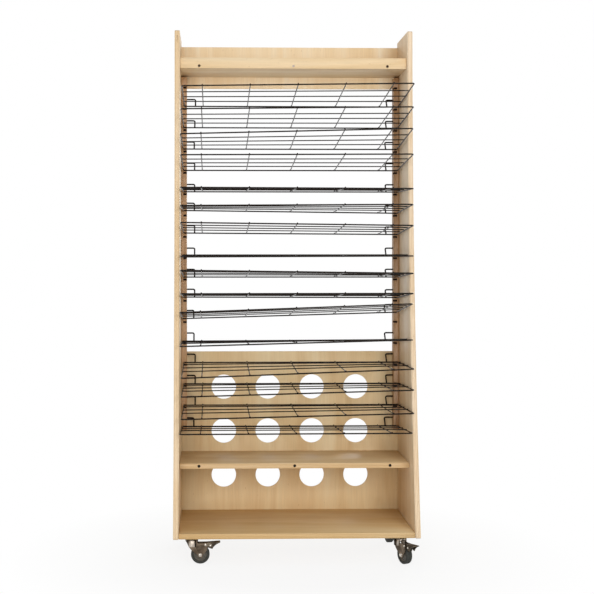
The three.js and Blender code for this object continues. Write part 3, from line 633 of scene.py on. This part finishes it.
# Dipped black enamel on wire: near black with a brown cast, glossy where it ran and duller where paper and
# pins have rubbed it, with a fine skin like orange peel.
black_enamel = clouded(
    "black_enamel_wire", ((0.35, "#120b07"), (0.75, "#201710")), {"Scale": 1 / (30 * MM), "Detail": 3.0},
    (0.3, 0.7, 0.18, 0.34), (1.2 * MM, 1.2 * MM, 1.2 * MM), (1.0, 0.12, 0.1 * MM), IOR=1.3,
    Specular_IOR_Level=0.25)
wire = rule(
    "hung_wire_shelf", Width=785 * MM, Depth=SHELF_DEPTH, FrameWire=4.8 * MM, GridWire=3.8 * MM,
    HookWire=HOOK_WIRE, CornerRadius=10 * MM, LongWires=3, LongSpacing=84 * MM, BackBay=72 * MM,
    LongRise=3.8 * MM, CrossWires=5, CrossSpacing=160.8 * MM, CrossRise=0.8 * MM,
    HookPlace=STRIP_LOW.x - HOOK_INSET, PinEnd=STRIP_LOW.x + PIN_REACH, HookRise=HOOK_RISE,
    HookReach=PIN_Y - SHELF_BACK, BendRadius=6 * MM, WeldRadius=2.5 * MM, WeldRise=2.8 * MM, LeftRaise=0.0,
    RightRaise=0.0, Slide=0.0, CaughtLeft=0.0, CaughtRight=0.0, Back=SHELF_BACK, Height=0.0)
inner_width = add(wire, "SUBTRACT", ["Width", "FrameWire"])
inner_depth = add(wire, "SUBTRACT", ["Depth", "FrameWire"])
middle_y = add(wire, "MULTIPLY", ["Depth", -0.5])
here = add(wire, "SeparateXYZ", [add(wire, "InputPosition")]).outputs

loop = add(
    wire, "CurvePrimitiveQuadrilateral", {"Width": inner_width, "Height": inner_depth}, mode="RECTANGLE")
at_front = add(wire, "Compare", [here[Y], 0.0], operation="LESS_THAN")
back_radius = add(wire, "MULTIPLY", ["FrameWire", 0.6])
corner_radius = add(wire, "Switch", {
    "Switch": at_front, "False": back_radius, "True": "CornerRadius"}, input_type="FLOAT")
bent_loop = add(wire, "FilletCurve", {"Curve": loop, "Count": 7, "Radius": corner_radius}, mode="POLY")
frame_loop = add(wire, "Transform", {"Geometry": bent_loop, "Translation": (0, middle_y, 0)})

side_end = add(wire, "MULTIPLY", [inner_width, 0.5])
side_start = add(wire, "MULTIPLY", [inner_width, -0.5])
wire_back = add(wire, "MULTIPLY", ["FrameWire", -0.5])
long_first = add(wire, "SUBTRACT", [wire_back, "BackBay"])
long_step = add(wire, "MULTIPLY", ["LongSpacing", -1.0])
cross_front = add(wire, "MULTIPLY", ["Depth", -1.0])
cross_gaps = add(wire, "SUBTRACT", ["CrossWires", 1.0])
cross_span = add(wire, "MULTIPLY", [cross_gaps, "CrossSpacing"])
cross_first = add(wire, "MULTIPLY", [cross_span, -0.5])
grid_wires = []
for start, end, count, first, step in (
        ((side_start, 0, "LongRise"), (side_end, 0, "LongRise"), "LongWires",
         (0, long_first, 0), (0, long_step, 0)),
        ((0, cross_front, "CrossRise"), (0, 0, "CrossRise"), "CrossWires",
         (cross_first, 0, 0), ("CrossSpacing", 0, 0))):
    line = add(wire, "CurvePrimitiveLine", {"Start": start, "End": end})
    points = add(wire, "MeshLine", {"Count": count, "Start Location": first, "Offset": step})
    grid_wires.append(add(wire, "InstanceOnPoints", {"Points": points, "Instance": line}))

hooks = []
for hand in (-1.0, 1.0):
    hook_x = add(wire, "MULTIPLY", ["HookPlace", hand])
    pin_x = add(wire, "MULTIPLY", ["PinEnd", hand])
    choice = add(wire, "IndexSwitch", data_type="VECTOR")
    choice.index_switch_items.new()
    wire.links.new(add(wire, "InputIndex").outputs[0], choice.inputs[0])
    for order, corner in enumerate((
            (hook_x, wire_back, 0), (hook_x, "HookReach", "HookRise"), (pin_x, "HookReach", "HookRise"))):
        wire.links.new(add(wire, "CombineXYZ", corner).outputs[0], choice.inputs[order + 1])
    chain = add(wire, "MeshLine", {"Count": 3})
    cranked = add(wire, "SetPosition", {"Geometry": chain, "Position": choice})
    path = add(wire, "MeshToCurve", {"Mesh": cranked})
    hooks.append(add(wire, "FilletCurve", {"Curve": path, "Count": 5, "Radius": "BendRadius"}, mode="POLY"))

bead = add(wire, "MeshIcoSphere", {"Radius": "WeldRadius", "Subdivisions": 2})
smooth_bead = add(wire, "SetShadeSmooth", [bead])
long_gaps = add(wire, "SUBTRACT", ["LongWires", 1.0])
long_span = add(wire, "MULTIPLY", [long_gaps, "LongSpacing"])
long_middle = add(wire, "MULTIPLY_ADD", [long_span, -0.5, long_first])
welds = []
for middle, span, count in ((long_middle, long_span, "LongWires"), (middle_y, inner_depth, 2)):
    weld_grid = add(wire, "MeshGrid", {
        "Size X": cross_span, "Size Y": span, "Vertices X": "CrossWires", "Vertices Y": count})
    weld_points = add(wire, "Transform", {"Geometry": weld_grid, "Translation": (0, middle, "WeldRise")})
    beads = add(wire, "InstanceOnPoints", {
        "Points": weld_points, "Instance": smooth_bead, "Scale": (1.0, 1.0, 0.9)})
    welds.append(add(wire, "RealizeInstances", [beads]))

grid = add(wire, "RealizeInstances", [add(wire, "JoinGeometry", [grid_wires])])
bent_hooks = add(wire, "JoinGeometry", [hooks])
tubes = []
for lines, stock, sides in (
        (frame_loop, "FrameWire", 12), (grid, "GridWire", 9), (bent_hooks, "HookWire", 12)):
    radius = add(wire, "MULTIPLY", [stock, 0.5])
    section = add(wire, "CurvePrimitiveCircle", {"Resolution": sides, "Radius": radius})
    tubes.append(add(wire, "CurveToMesh", {"Curve": lines, "Profile Curve": section, "Fill Caps": True}))
flat = add(wire, "JoinGeometry", [[*tubes, *welds]])

across = add(wire, "DIVIDE", [here[X], "Width"])
across_share = add(wire, "ADD", [across, 0.5])
forward = add(wire, "DIVIDE", [here[Y], cross_front])
forward_share = add(wire, "Clamp", [forward])
lifts = []
for left, right in (("LeftRaise", "RightRaise"), ("CaughtLeft", "CaughtRight")):
    spread = add(wire, "SUBTRACT", [right, left])
    lifts.append(add(wire, "MULTIPLY_ADD", [spread, across_share, left]))
tipped = add(wire, "MULTIPLY_ADD", [lifts[0], forward_share, "Height"])
hung = add(wire, "ADD", [lifts[1], tipped])
sprung = add(wire, "SetPosition", {"Geometry": flat, "Offset": ("Slide", "Back", hung)})
ended(wire, sprung, black_enamel)
for index, (left, right, slide, caught_left, caught_right) in enumerate(SHELF_REST):
    number = f"{index + 1:02d}"
    shelf = grown(
        f"wire_grid_{number}", wire, LeftRaise=SHELF_DEPTH * math.tan(math.radians(left)),
        RightRaise=SHELF_DEPTH * math.tan(math.radians(right)), Slide=slide * PIN_PLAY,
        CaughtLeft=caught_left * SLOT_DROP, CaughtRight=caught_right * SLOT_DROP,
        Height=TOP_PIN - index * SHELF_PITCH - HOOK_RISE)
    fitted(shelf, None, f"shelf_{number}", "black_wire", f"wire_shelf_{number}")

# Caster heads. Each caster screws into the bottom shelf by a threaded stem, with a round swivel flange
# tight under the board and a king pin riveted below the fork. All of it is zinc-plated steel, drawn near
# black: partly dark steel, partly painted shade under the shelf.
STEM_TOP = 15.5 * MM
SWIVEL = 20.5 * MM
FLANGE_LOW = -2.8 * MM
CROWN_TOP = -3.1 * MM
CROWN_LOW = -5.6 * MM


def turned(name, profile, sides, place, ring=False):
    """A piece turned about Z and set in its place: a profile of radius and height, closed on the axis or
    into a ring."""
    shape = bmesh.new()
    rows = []
    for radius, height in profile:
        outline = circle(0, 0, 2 * radius, sides) if radius else [(0, 0)]
        rows.append([shape.verts.new((x, y, height)) for x, y in outline])
    pairs = list(zip(rows, rows[1:]))
    if ring:
        pairs.append((rows[-1], rows[0]))
    for one, other in pairs:
        for index in range(sides):
            after = (index + 1) % sides
            corners = [one[index % len(one)], one[after % len(one)],
                       other[after % len(other)], other[index % len(other)]]
            shape.faces.new(list(dict.fromkeys(corners)))
    bmesh.ops.recalc_face_normals(shape, faces=list(shape.faces))
    shape.transform(place)
    return placed(name, shape)


def caster_place(caster):
    """Where a caster stands: its swivel axis under the shelf, turned to the way it trails."""
    stem_low, stem_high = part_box(f"{caster}_stem")
    stem = (stem_low + stem_high) / 2
    spot = Matrix.Translation((stem.x, stem.y, SHELF_UNDERSIDE))
    return spot @ Matrix.Rotation(math.radians(CASTERS[caster]), 4, "Z")


def zinc_plate(name, pale, dark, low_gloss, high_gloss):
    """Zinc-plated pressed steel: a soft grey metal with cloudy patches, duller and browner where handling
    and dust have stained it, and fine drawing lines from the press."""
    return clouded(
        name, ((0.35, dark), (0.65, pale)), {"Scale": 1 / (20 * MM), "Detail": 2.0},
        (0.3, 0.7, high_gloss, low_gloss), (20 * MM, 20 * MM, 0.8 * MM), (1.0, 0.1, 0.1 * MM), Metallic=1.0)


# Near-black steel for the swivel heads and the bells of the crowns: partly dark steel, partly painted shade
# under the shelf and round the nose.
dark_and_shaded_steel = zinc_plate("dark_and_shaded_swivel_steel", "#40362c", "#211a14", 0.4, 0.6)
head_profile = [
    (0, -9.6 * MM), (3.4 * MM, -9.4 * MM), (6.0 * MM, -8.4 * MM), (7 * MM, -6.9 * MM), (7 * MM, -5.9 * MM),
    (4 * MM, -5.9 * MM), (4 * MM, FLANGE_LOW), (SWIVEL - 0.8 * MM, FLANGE_LOW),
    (SWIVEL, FLANGE_LOW + 0.7 * MM), (SWIVEL, -FIT_GAP - 0.4 * MM), (SWIVEL - 0.5 * MM, -FIT_GAP),
    (5 * MM, -FIT_GAP), (5 * MM, STEM_TOP - 1 * MM), (4 * MM, STEM_TOP), (0, STEM_TOP)]
for caster in CASTERS:
    head = worked(turned(f"{caster}_swivel_head", head_profile, 48, caster_place(caster)))
    fitted(head, dark_and_shaded_steel, "cabinet", "zinc_steel", f"{caster}_stem")

# Forks. Each is pressed from one 2.5 mm steel sheet: a bell-shaped crown that runs on the ball race, deep,
# with a painted highlight along both sides of its nose and painted shade on the rest of the bell, and two
# flat cheeks, stained by use, down to the axle.
CUT_THROUGH = 30 * MM
TRAIL = 28 * MM
AXLE = -58.5 * MM
CHEEK_IN = 12.5 * MM
CHEEK_OUT = 15 * MM
CHEEK_EASE = 0.5 * MM
SKIRT_LOW = CROWN_TOP - 11 * MM
SKIRT_IN = SWIVEL - 2.5 * MM
PIN_X = 45.5 * MM
PIN_Z = -24.6 * MM
BOSS = 10 * MM
AXLE_BORE = 8.6 * MM
PEDAL_BORE = 5.6 * MM
NOSE_LOW = CROWN_TOP - 28 * MM
NOSE_BACK = 15 * MM
NOSE_ROUND = 4 * MM
NOSE_SHARE = 0.36
RACE_LOW = -9 * MM
BELL_SKIN = 0.6 * MM
KING_BORE = 4.3 * MM
# The curve of the cheeks' leading edge, and the stretch of each crown that carries the painted highlight.
LEAD = ((-SKIRT_IN, SKIRT_LOW), (-10 * MM, -42 * MM), (TRAIL - BOSS, AXLE))
HIGHLIGHT_SPANS = {
    "front_left": (-12 * MM, 9 * MM), "front_right": (7 * MM, 21 * MM), "rear_left": (-8 * MM, 8 * MM),
    "rear_right": (-8 * MM, 8 * MM)}


def cheek_outline():
    """A cheek in X and Z: bowed leading edge, round axle boss and a straight back behind the pedal pin."""
    back = PIN_X + BOSS / 2
    top = CROWN_LOW + 0.8 * MM
    shoulder = -20 * MM
    outline = [(-SKIRT_IN, top), *bend(*LEAD, 12)]
    outline += arc(TRAIL, AXLE, BOSS, math.pi, 2 * math.pi, 16)[1:-1]
    outline += [(TRAIL + BOSS, AXLE), (back, -43 * MM)]
    outline += bend((back, -24 * MM), (back, shoulder), (back - 4 * MM, shoulder), 6)
    outline += bend((SKIRT_IN + 4 * MM, shoulder), (SKIRT_IN, shoulder), (SKIRT_IN, -16 * MM), 6)
    return [*outline, (SKIRT_IN, top)]


def skirt_trim():
    """What is cut off the crown's deep skirt: ahead along the cheeks' slope, and behind for the tyre."""
    slope = bend(*LEAD, 8, NOSE_SHARE)
    low = slope[-1][1]
    ahead = [(-2 * SWIVEL, SKIRT_LOW), *slope, (-2 * SWIVEL, low)]
    behind = [(2 * SWIVEL, SKIRT_LOW)]
    behind += bend((NOSE_BACK + NOSE_ROUND, SKIRT_LOW), (NOSE_BACK, SKIRT_LOW),
                   (NOSE_BACK, SKIRT_LOW - NOSE_ROUND), 6)
    behind += bend((NOSE_BACK, NOSE_LOW + NOSE_ROUND), (NOSE_BACK, NOSE_LOW),
                   (NOSE_BACK - NOSE_ROUND, NOSE_LOW), 6)
    return ahead, [*behind, (NOSE_BACK - NOSE_ROUND, low), (2 * SWIVEL, low)]


# A paler zinc for the painted highlight on each crown's nose.
highlight_zinc = zinc_plate("painted_highlight_zinc", "#b9afa4", "#8f867b", 0.3, 0.45)
stained_zinc = zinc_plate("stained_zinc_plate", "#7a6c5c", "#54483c", 0.34, 0.5)
crown_profile = [
    (KING_BORE, CROWN_LOW), (14.5 * MM, CROWN_LOW), (17.2 * MM, CROWN_LOW - 1 * MM),
    (SKIRT_IN, CROWN_LOW - 3 * MM), (SKIRT_IN, NOSE_LOW), (SWIVEL, NOSE_LOW), (SWIVEL, RACE_LOW),
    (SWIVEL - 0.4 * MM, RACE_LOW + 0.4 * MM), (SWIVEL, RACE_LOW + 0.8 * MM), (SWIVEL, CROWN_TOP - 3.4 * MM),
    (SWIVEL - 0.9 * MM, CROWN_TOP - 1.2 * MM), (SWIVEL - 3.2 * MM, CROWN_TOP), (KING_BORE, CROWN_TOP)]
for caster in CASTERS:
    place = caster_place(caster)
    trim = bmesh.new()
    for outline in skirt_trim():
        prism(trim, outline, Y, -CUT_THROUGH, CUT_THROUGH)
    trim.transform(place)
    crown = worked(turned(f"{caster}_pressed_fork", crown_profile, 64, place, ring=True), cuts=trim)
    cheeks = []
    for hand in (-1, 1):
        inner, outer = sorted((hand * CHEEK_IN, hand * CHEEK_OUT))
        cheek = sawn(f"{caster}_cheek", cheek_outline(), Y, inner, outer, place)
        cheeks.append(worked(cheek, CHEEK_EASE))
    bores = bmesh.new()
    prism(bores, circle(TRAIL, AXLE, AXLE_BORE, 32), Y, -CUT_THROUGH, CUT_THROUGH)
    if caster.startswith("front"):
        prism(bores, circle(PIN_X, PIN_Z, PEDAL_BORE, 24), Y, -CUT_THROUGH, CUT_THROUGH)
    bores.transform(place)
    fork = worked(crown, cuts=bores, joins=cheeks)
    fitted(fork, stained_zinc, f"{caster}_swivel", "zinc_steel", f"{caster}_fork")
    fork.data.materials.append(highlight_zinc)
    fork.data.materials.append(dark_and_shaded_steel)
    # Bell faces in each caster's span below the race take the painted highlight; the rest of the bell takes
    # the painted shade.
    unturned = place.inverted()
    highlight_from, highlight_to = HIGHLIGHT_SPANS[caster]
    for face in fork.data.polygons:
        spot = unturned @ face.center
        if abs(spot.xy.length - SWIVEL) < BELL_SKIN:
            wear_and_highlight = spot.z < RACE_LOW and highlight_from < spot.x < highlight_to
            face.material_index = 1 if wear_and_highlight else 2

# Wheels. A moulded grey polypropylene hub with a raised ring and a boss on each side, and round it a soft
# grey-green rubber tyre with rounded shoulders and three fine grooves in the tread.


def across_caster(caster, x, z):
    """Where a turned piece lies across a caster, such as its wheel, its axle bolt or a pin."""
    return caster_place(caster) @ Matrix.Translation((x, 0, z)) @ Matrix.Rotation(QUARTER, 4, "X")


# Half of each profile in millimetres, from the bore or the bead at the side out to the middle of the rim.
hub_half = [
    (4.3, 12.2), (7.4, 12.2), (8.2, 11.6), (8.4, 7.4), (9.4, 6.6), (17.2, 6.6), (17.9, 8.4), (18.6, 8.9),
    (20.6, 8.9), (21.3, 8.4), (22.2, 8.2)]
tyre_half = [
    (22.5, 9.9), (23.4, 10.5), (25.2, 10.5), (25.7, 10.1), (26.4, 10.1), (26.9, 10.5), (27.6, 10.4)]
for step in range(1, 7):
    turn = math.radians(90 - 15 * step)
    tyre_half.append((27.6 + 3.9 * math.cos(turn), 6.6 + 3.8 * math.sin(turn)))
tyre_half += [(31.5, 5.0), (31.0, 4.6), (31.0, 3.9), (31.5, 3.5), (31.5, 0.7), (31.0, 0.3)]
# Moulded polypropylene: an even grey with a waxy sheen, a faint grain and dust in its corners.
hub_plastic = clouded(
    "moulded_grey_hub", ((0.35, "#403c34"), (0.7, "#625c52")), {"Scale": 1 / (8 * MM), "Detail": 4.0},
    (0.0, 1.0, 0.4, 0.65), (0.8 * MM, 0.8 * MM, 0.8 * MM), (1.0, 0.1, 0.1 * MM), IOR=1.49)
# Thermoplastic rubber: dark grey-green, matt, scuffed paler in patches where it has rolled over grit.
tyre_rubber = clouded(
    "grey_green_rubber", ((0.4, "#22231f"), (0.75, "#3a3b34")),
    {"Scale": 1 / (6 * MM), "Detail": 5.0, "Roughness": 0.65}, (0.0, 1.0, 0.6, 0.9),
    (1 * MM, 1 * MM, 1 * MM), (2.0, 0.2, 0.15 * MM), IOR=1.52)
for caster in CASTERS:
    for name, half, material, slot, sides in (
            ("wheel", hub_half, hub_plastic, "grey_plastic", 64),
            ("tyre", tyre_half, tyre_rubber, "rubber", 72)):
        profile = [(radius * MM, height * MM) for radius, height in half]
        profile += [(radius, -height) for radius, height in reversed(profile)]
        place = across_caster(caster, TRAIL, AXLE)
        wheel = worked(turned(f"{caster}_moulded_{name}", profile, sides, place, ring=True))
        fitted(wheel, material, f"{caster}_roller", slot, f"{caster}_{name}")

# Axle bolts. A zinc-plated hexagon bolt runs through each fork and hub, with a washer under its head and
# another under the nut on the far cheek.
AXLE_SEAT = CHEEK_OUT + FIT_GAP
BOLT = 4 * MM
BOLT_HEX = 12.6 * MM
HEX_EASE = 0.6 * MM
WASHER = 6.4 * MM
WASHER_TOP = AXLE_SEAT + 0.8 * MM
bright_zinc = zinc_plate("bright_zinc_plate", "#d2cbc0", "#a79f94", 0.22, 0.38)
bolt_profile = [
    (0, -AXLE_SEAT - 3.9 * MM), (3.2 * MM, -AXLE_SEAT - 3.9 * MM), (BOLT, -AXLE_SEAT - 3.2 * MM),
    (BOLT, -WASHER_TOP), (WASHER, -WASHER_TOP), (WASHER, -AXLE_SEAT), (BOLT, -AXLE_SEAT), (BOLT, AXLE_SEAT),
    (WASHER, AXLE_SEAT), (WASHER, WASHER_TOP), (BOLT, WASHER_TOP), (BOLT, AXLE_SEAT + 2 * MM),
    (0, AXLE_SEAT + 2 * MM)]
for caster in CASTERS:
    place = across_caster(caster, TRAIL, AXLE)
    bolt = turned(f"{caster}_hex_bolt", bolt_profile, 40, place)
    ends = []
    for level, depth, turn in ((AXLE_SEAT + 0.4 * MM, 3.5 * MM, 12), (-AXLE_SEAT - 3.1 * MM, 2.7 * MM, 40)):
        end = sawn(f"{caster}_hex_end", circle(0, 0, BOLT_HEX, 6, turn), Z, level, level + depth, place)
        ends.append(worked(end, HEX_EASE))
    bolt = worked(bolt, joins=ends)
    fitted(bolt, bright_zinc, f"{caster}_swivel", "zinc_steel", f"{caster}_axle_bolt")

# Brake pedals. Each front caster has a pressed steel pedal on a riveted pin: a channel with a curved shoe
# over the tyre and a tread that flares like a fish tail, with raised grip bars across it.
PEDAL_HALF = 11.9 * MM
PEDAL_METAL = 2.2 * MM
PEDAL_EASE = 0.4 * MM
TYRE_RADIUS = 31.5 * MM
SHOE = TYRE_RADIUS + 2.4 * MM
PEDAL_TIP = PIN_X + 50 * MM
PEDAL_KNEE = (PIN_X + 10 * MM, PIN_Z + 5.9 * MM)
HOLLOW_FRONT = PIN_X + 6 * MM
TREAD_RIVET = (62 * MM, -27.9 * MM)
PIN_SHANK = 2.5 * MM


def pedal_outline():
    """The pedal in X and Z, from its front top corner down, round the shoe and out along the tread."""
    front = PIN_X - BOSS / 2
    back = PIN_X + BOSS / 2
    outline = [(front, PIN_Z + 4.6 * MM)]
    start = math.acos((front - TRAIL) / SHOE)
    end = math.acos((back - TRAIL) / SHOE)
    outline += arc(TRAIL, AXLE, SHOE, start, end, 8)
    outline.append((PIN_X + 8.2 * MM, PIN_Z - 10.3 * MM))
    flare = (PIN_X + 23.5 * MM, PIN_Z - 15.2 * MM)
    sweep = (PIN_X + 30 * MM, PIN_Z - 0.4 * MM)
    outline += bend(flare, sweep, (PEDAL_TIP, PIN_Z + 6.2 * MM), 14)
    return [*outline, (PEDAL_TIP, PIN_Z + 8.4 * MM), PEDAL_KNEE]


stained_steel = zinc_plate("stained_pedal_steel", "#6f6557", "#433b33", 0.38, 0.58)
bars = rule(
    "grip_bars", Bars=6, Pitch=4.6 * MM, First=PIN_X + 20 * MM, Length=19 * MM, Radius=1.0 * MM,
    Rise=PEDAL_KNEE[1], Knee=PEDAL_KNEE[0], Slope=2.5 / 40)
climb = add(bars, "MULTIPLY", ["Pitch", "Slope"])
run = add(bars, "SUBTRACT", ["First", "Knee"])
rise = add(bars, "MULTIPLY_ADD", [run, "Slope", "Rise"])
row = add(bars, "MeshLine", {
    "Count": "Bars", "Start Location": ("First", 0, rise), "Offset": ("Pitch", 0, climb)})
left_end = add(bars, "MULTIPLY", ["Length", -0.5])
right_end = add(bars, "MULTIPLY", ["Length", 0.5])
line = add(bars, "CurvePrimitiveLine", {"Start": (0, left_end, 0), "End": (0, right_end, 0)})
section = add(bars, "CurvePrimitiveCircle", {"Resolution": 10, "Radius": "Radius"})
bar = add(bars, "CurveToMesh", {"Curve": line, "Profile Curve": section, "Fill Caps": True})
ended(bars, add(bars, "InstanceOnPoints", {"Points": row, "Instance": bar}), stained_steel)


def dome_pin(half, head, rise):
    """The profile of a pin along Z with a domed rivet head at each end."""
    turns = [math.radians(turn) for turn in (0, 22, 45, 67)]
    dome = [(head * math.cos(turn), half + rise * math.sin(turn)) for turn in turns]
    upper = [(PIN_SHANK, half), *dome, (0, half + rise)]
    return [(radius, -height) for radius, height in reversed(upper)] + upper


for caster in ("front_left", "front_right"):
    place = caster_place(caster)
    pressed = sawn(f"{caster}_pedal_pressing", pedal_outline(), Y, -PEDAL_HALF, PEDAL_HALF, place)
    under = [(x, z - PEDAL_METAL) for x, z in pedal_outline() if x > HOLLOW_FRONT]
    under += [(HOLLOW_FRONT, PIN_Z + 3.2 * MM), (HOLLOW_FRONT, PIN_Z - 14 * MM)]
    hollow = bmesh.new()
    prism(hollow, under, Y, -PEDAL_HALF + PEDAL_METAL, PEDAL_HALF - PEDAL_METAL)
    prism(hollow, circle(PIN_X, PIN_Z, PEDAL_BORE, 24), Y, -CUT_THROUGH, CUT_THROUGH)
    hollow.transform(place)
    pedal = worked(pressed, PEDAL_EASE, hollow)
    fitted(pedal, stained_steel, f"{caster}_brake", "dark_steel", f"{caster}_brake_pedal")
    grips = grown(f"{caster}_grip_bars", bars)
    grips.data.transform(place)
    fitted(grips, None, f"{caster}_brake", "dark_steel")
    pin_profile = dome_pin(AXLE_SEAT, 4 * MM, 1.5 * MM)
    pin = worked(turned(f"{caster}_riveted_pin", pin_profile, 28, across_caster(caster, PIN_X, PIN_Z)))
    fitted(pin, bright_zinc, f"{caster}_swivel", "zinc_steel", f"{caster}_pedal_pin")
    rivet_profile = dome_pin(PEDAL_HALF + 0.05 * MM, 3.6 * MM, 1.3 * MM)
    rivet = worked(turned(f"{caster}_tread_rivet", rivet_profile, 28, across_caster(caster, *TREAD_RIVET)))
    fitted(rivet, bright_zinc, f"{caster}_brake", "zinc_steel")

# Studio. A plain white floor that fades into a white room, a broad lamp at each side of the camera, a
# weaker one from behind and an even room light, at a level where the wood shows its own colour.
FLOOR_HALF = 6.0
SHADOW_NEAR = 0.45
SHADOW_FAR = 1.0
SHADOW_GLOW = 0.86
ROOM_LIGHT = 0.52


def seen_rays(tree):
    """One for rays that look at the studio itself, straight or by way of a shiny or clear surface."""
    rays = add(tree, "LightPath").outputs
    seen = add(tree, "MAXIMUM", [rays["Is Camera Ray"], rays["Is Glossy Ray"]])
    return add(tree, "MAXIMUM", [seen, rays["Is Transmission Ray"]])


shape = bmesh.new()
corners = rectangle(-FLOOR_HALF, -FLOOR_HALF, FLOOR_HALF, FLOOR_HALF)
shape.faces.new([shape.verts.new((x, y, 0)) for x, y in corners])
floor = placed("studio_floor", shape)
floor_white, tree, spot = bare("studio_floor_white")
away = add(tree, "VectorMath", [spot], operation="LENGTH").outputs["Value"]
fade = add(tree, "MapRange", [away, SHADOW_NEAR, SHADOW_FAR, SHADOW_GLOW, 1.0])
share = add(tree, "MULTIPLY", [seen_rays(tree), fade])
paint = add(tree, "BsdfDiffuse", {"Color": linear("#f4f4f2")})
glow = add(tree, "Emission", {"Color": linear("#ffffff"), "Strength": 1.0})
add(tree, "OutputMaterial", {"Surface": add(tree, "MixShader", [share, paint, glow])})
floor.data.materials.append(floor_white)

world = bpy.data.worlds.new("studio_room")
bpy.context.scene.world = world
world.use_nodes = True
tree = world.node_tree
tree.nodes.clear()
dim = add(tree, "Background", {"Color": linear("#ffffff"), "Strength": ROOM_LIGHT})
white = add(tree, "Background", {"Color": linear("#ffffff"), "Strength": 1.0})
add(tree, "OutputWorld", {"Surface": add(tree, "MixShader", [seen_rays(tree), dim, white])})

for name, spot, aim, width, height, power in (
        ("left_lamp", (-1.0, -4.1, 1.3), (0.0, 0.0, 1.0), 1.2, 2.2, 51),
        ("right_lamp", (1.2, -4.0, 1.7), (0.0, 0.0, 1.1), 0.9, 1.6, 46),
        ("back_lamp", (2.0, 3.6, 1.8), (0.0, 0.0, 0.9), 1.6, 1.6, 45)):
    lamp = bpy.data.lights.new(name, "AREA")
    lamp.shape = "RECTANGLE"
    lamp.size = width
    lamp.size_y = height
    lamp.energy = power
    stand = bpy.data.objects.new(name, lamp)
    stand.location = spot
    stand.rotation_euler = (Vector(aim) - Vector(spot)).to_track_quat("-Z", "Y").to_euler()
    bpy.context.scene.collection.objects.link(stand)

# Camera. It stands a little left of the rack at chest height, with a long lens, as the photograph was
# taken. The lens is shifted, because its axis meets the photograph above and to the left of its middle.
PHOTO_SIDE = 594
FOCAL_PIXELS = 1189.5
CENTRE_PIXELS = (244.1, 258.0)
LENS_PLACE = (-279.2 * MM, BACK_EDGE - 4389 * MM, 1034 * MM)
TURN_TO_RIGHT = math.radians(1.45)
camera = bpy.data.cameras.new("photo_camera")
camera.sensor_fit = "HORIZONTAL"
camera.sensor_width = 36.0
camera.lens = FOCAL_PIXELS * camera.sensor_width / PHOTO_SIDE
camera.shift_x = (PHOTO_SIDE / 2 - CENTRE_PIXELS[0]) / PHOTO_SIDE
camera.shift_y = (CENTRE_PIXELS[1] - PHOTO_SIDE / 2) / PHOTO_SIDE
camera.clip_end = 50.0
viewpoint = bpy.data.objects.new("photo_camera", camera)
viewpoint.location = LENS_PLACE
viewpoint.rotation_euler = (QUARTER, 0, -TURN_TO_RIGHT)
bpy.context.scene.collection.objects.link(viewpoint)
bpy.context.scene.camera = viewpoint
bpy.context.scene.view_settings.view_transform = "Standard"
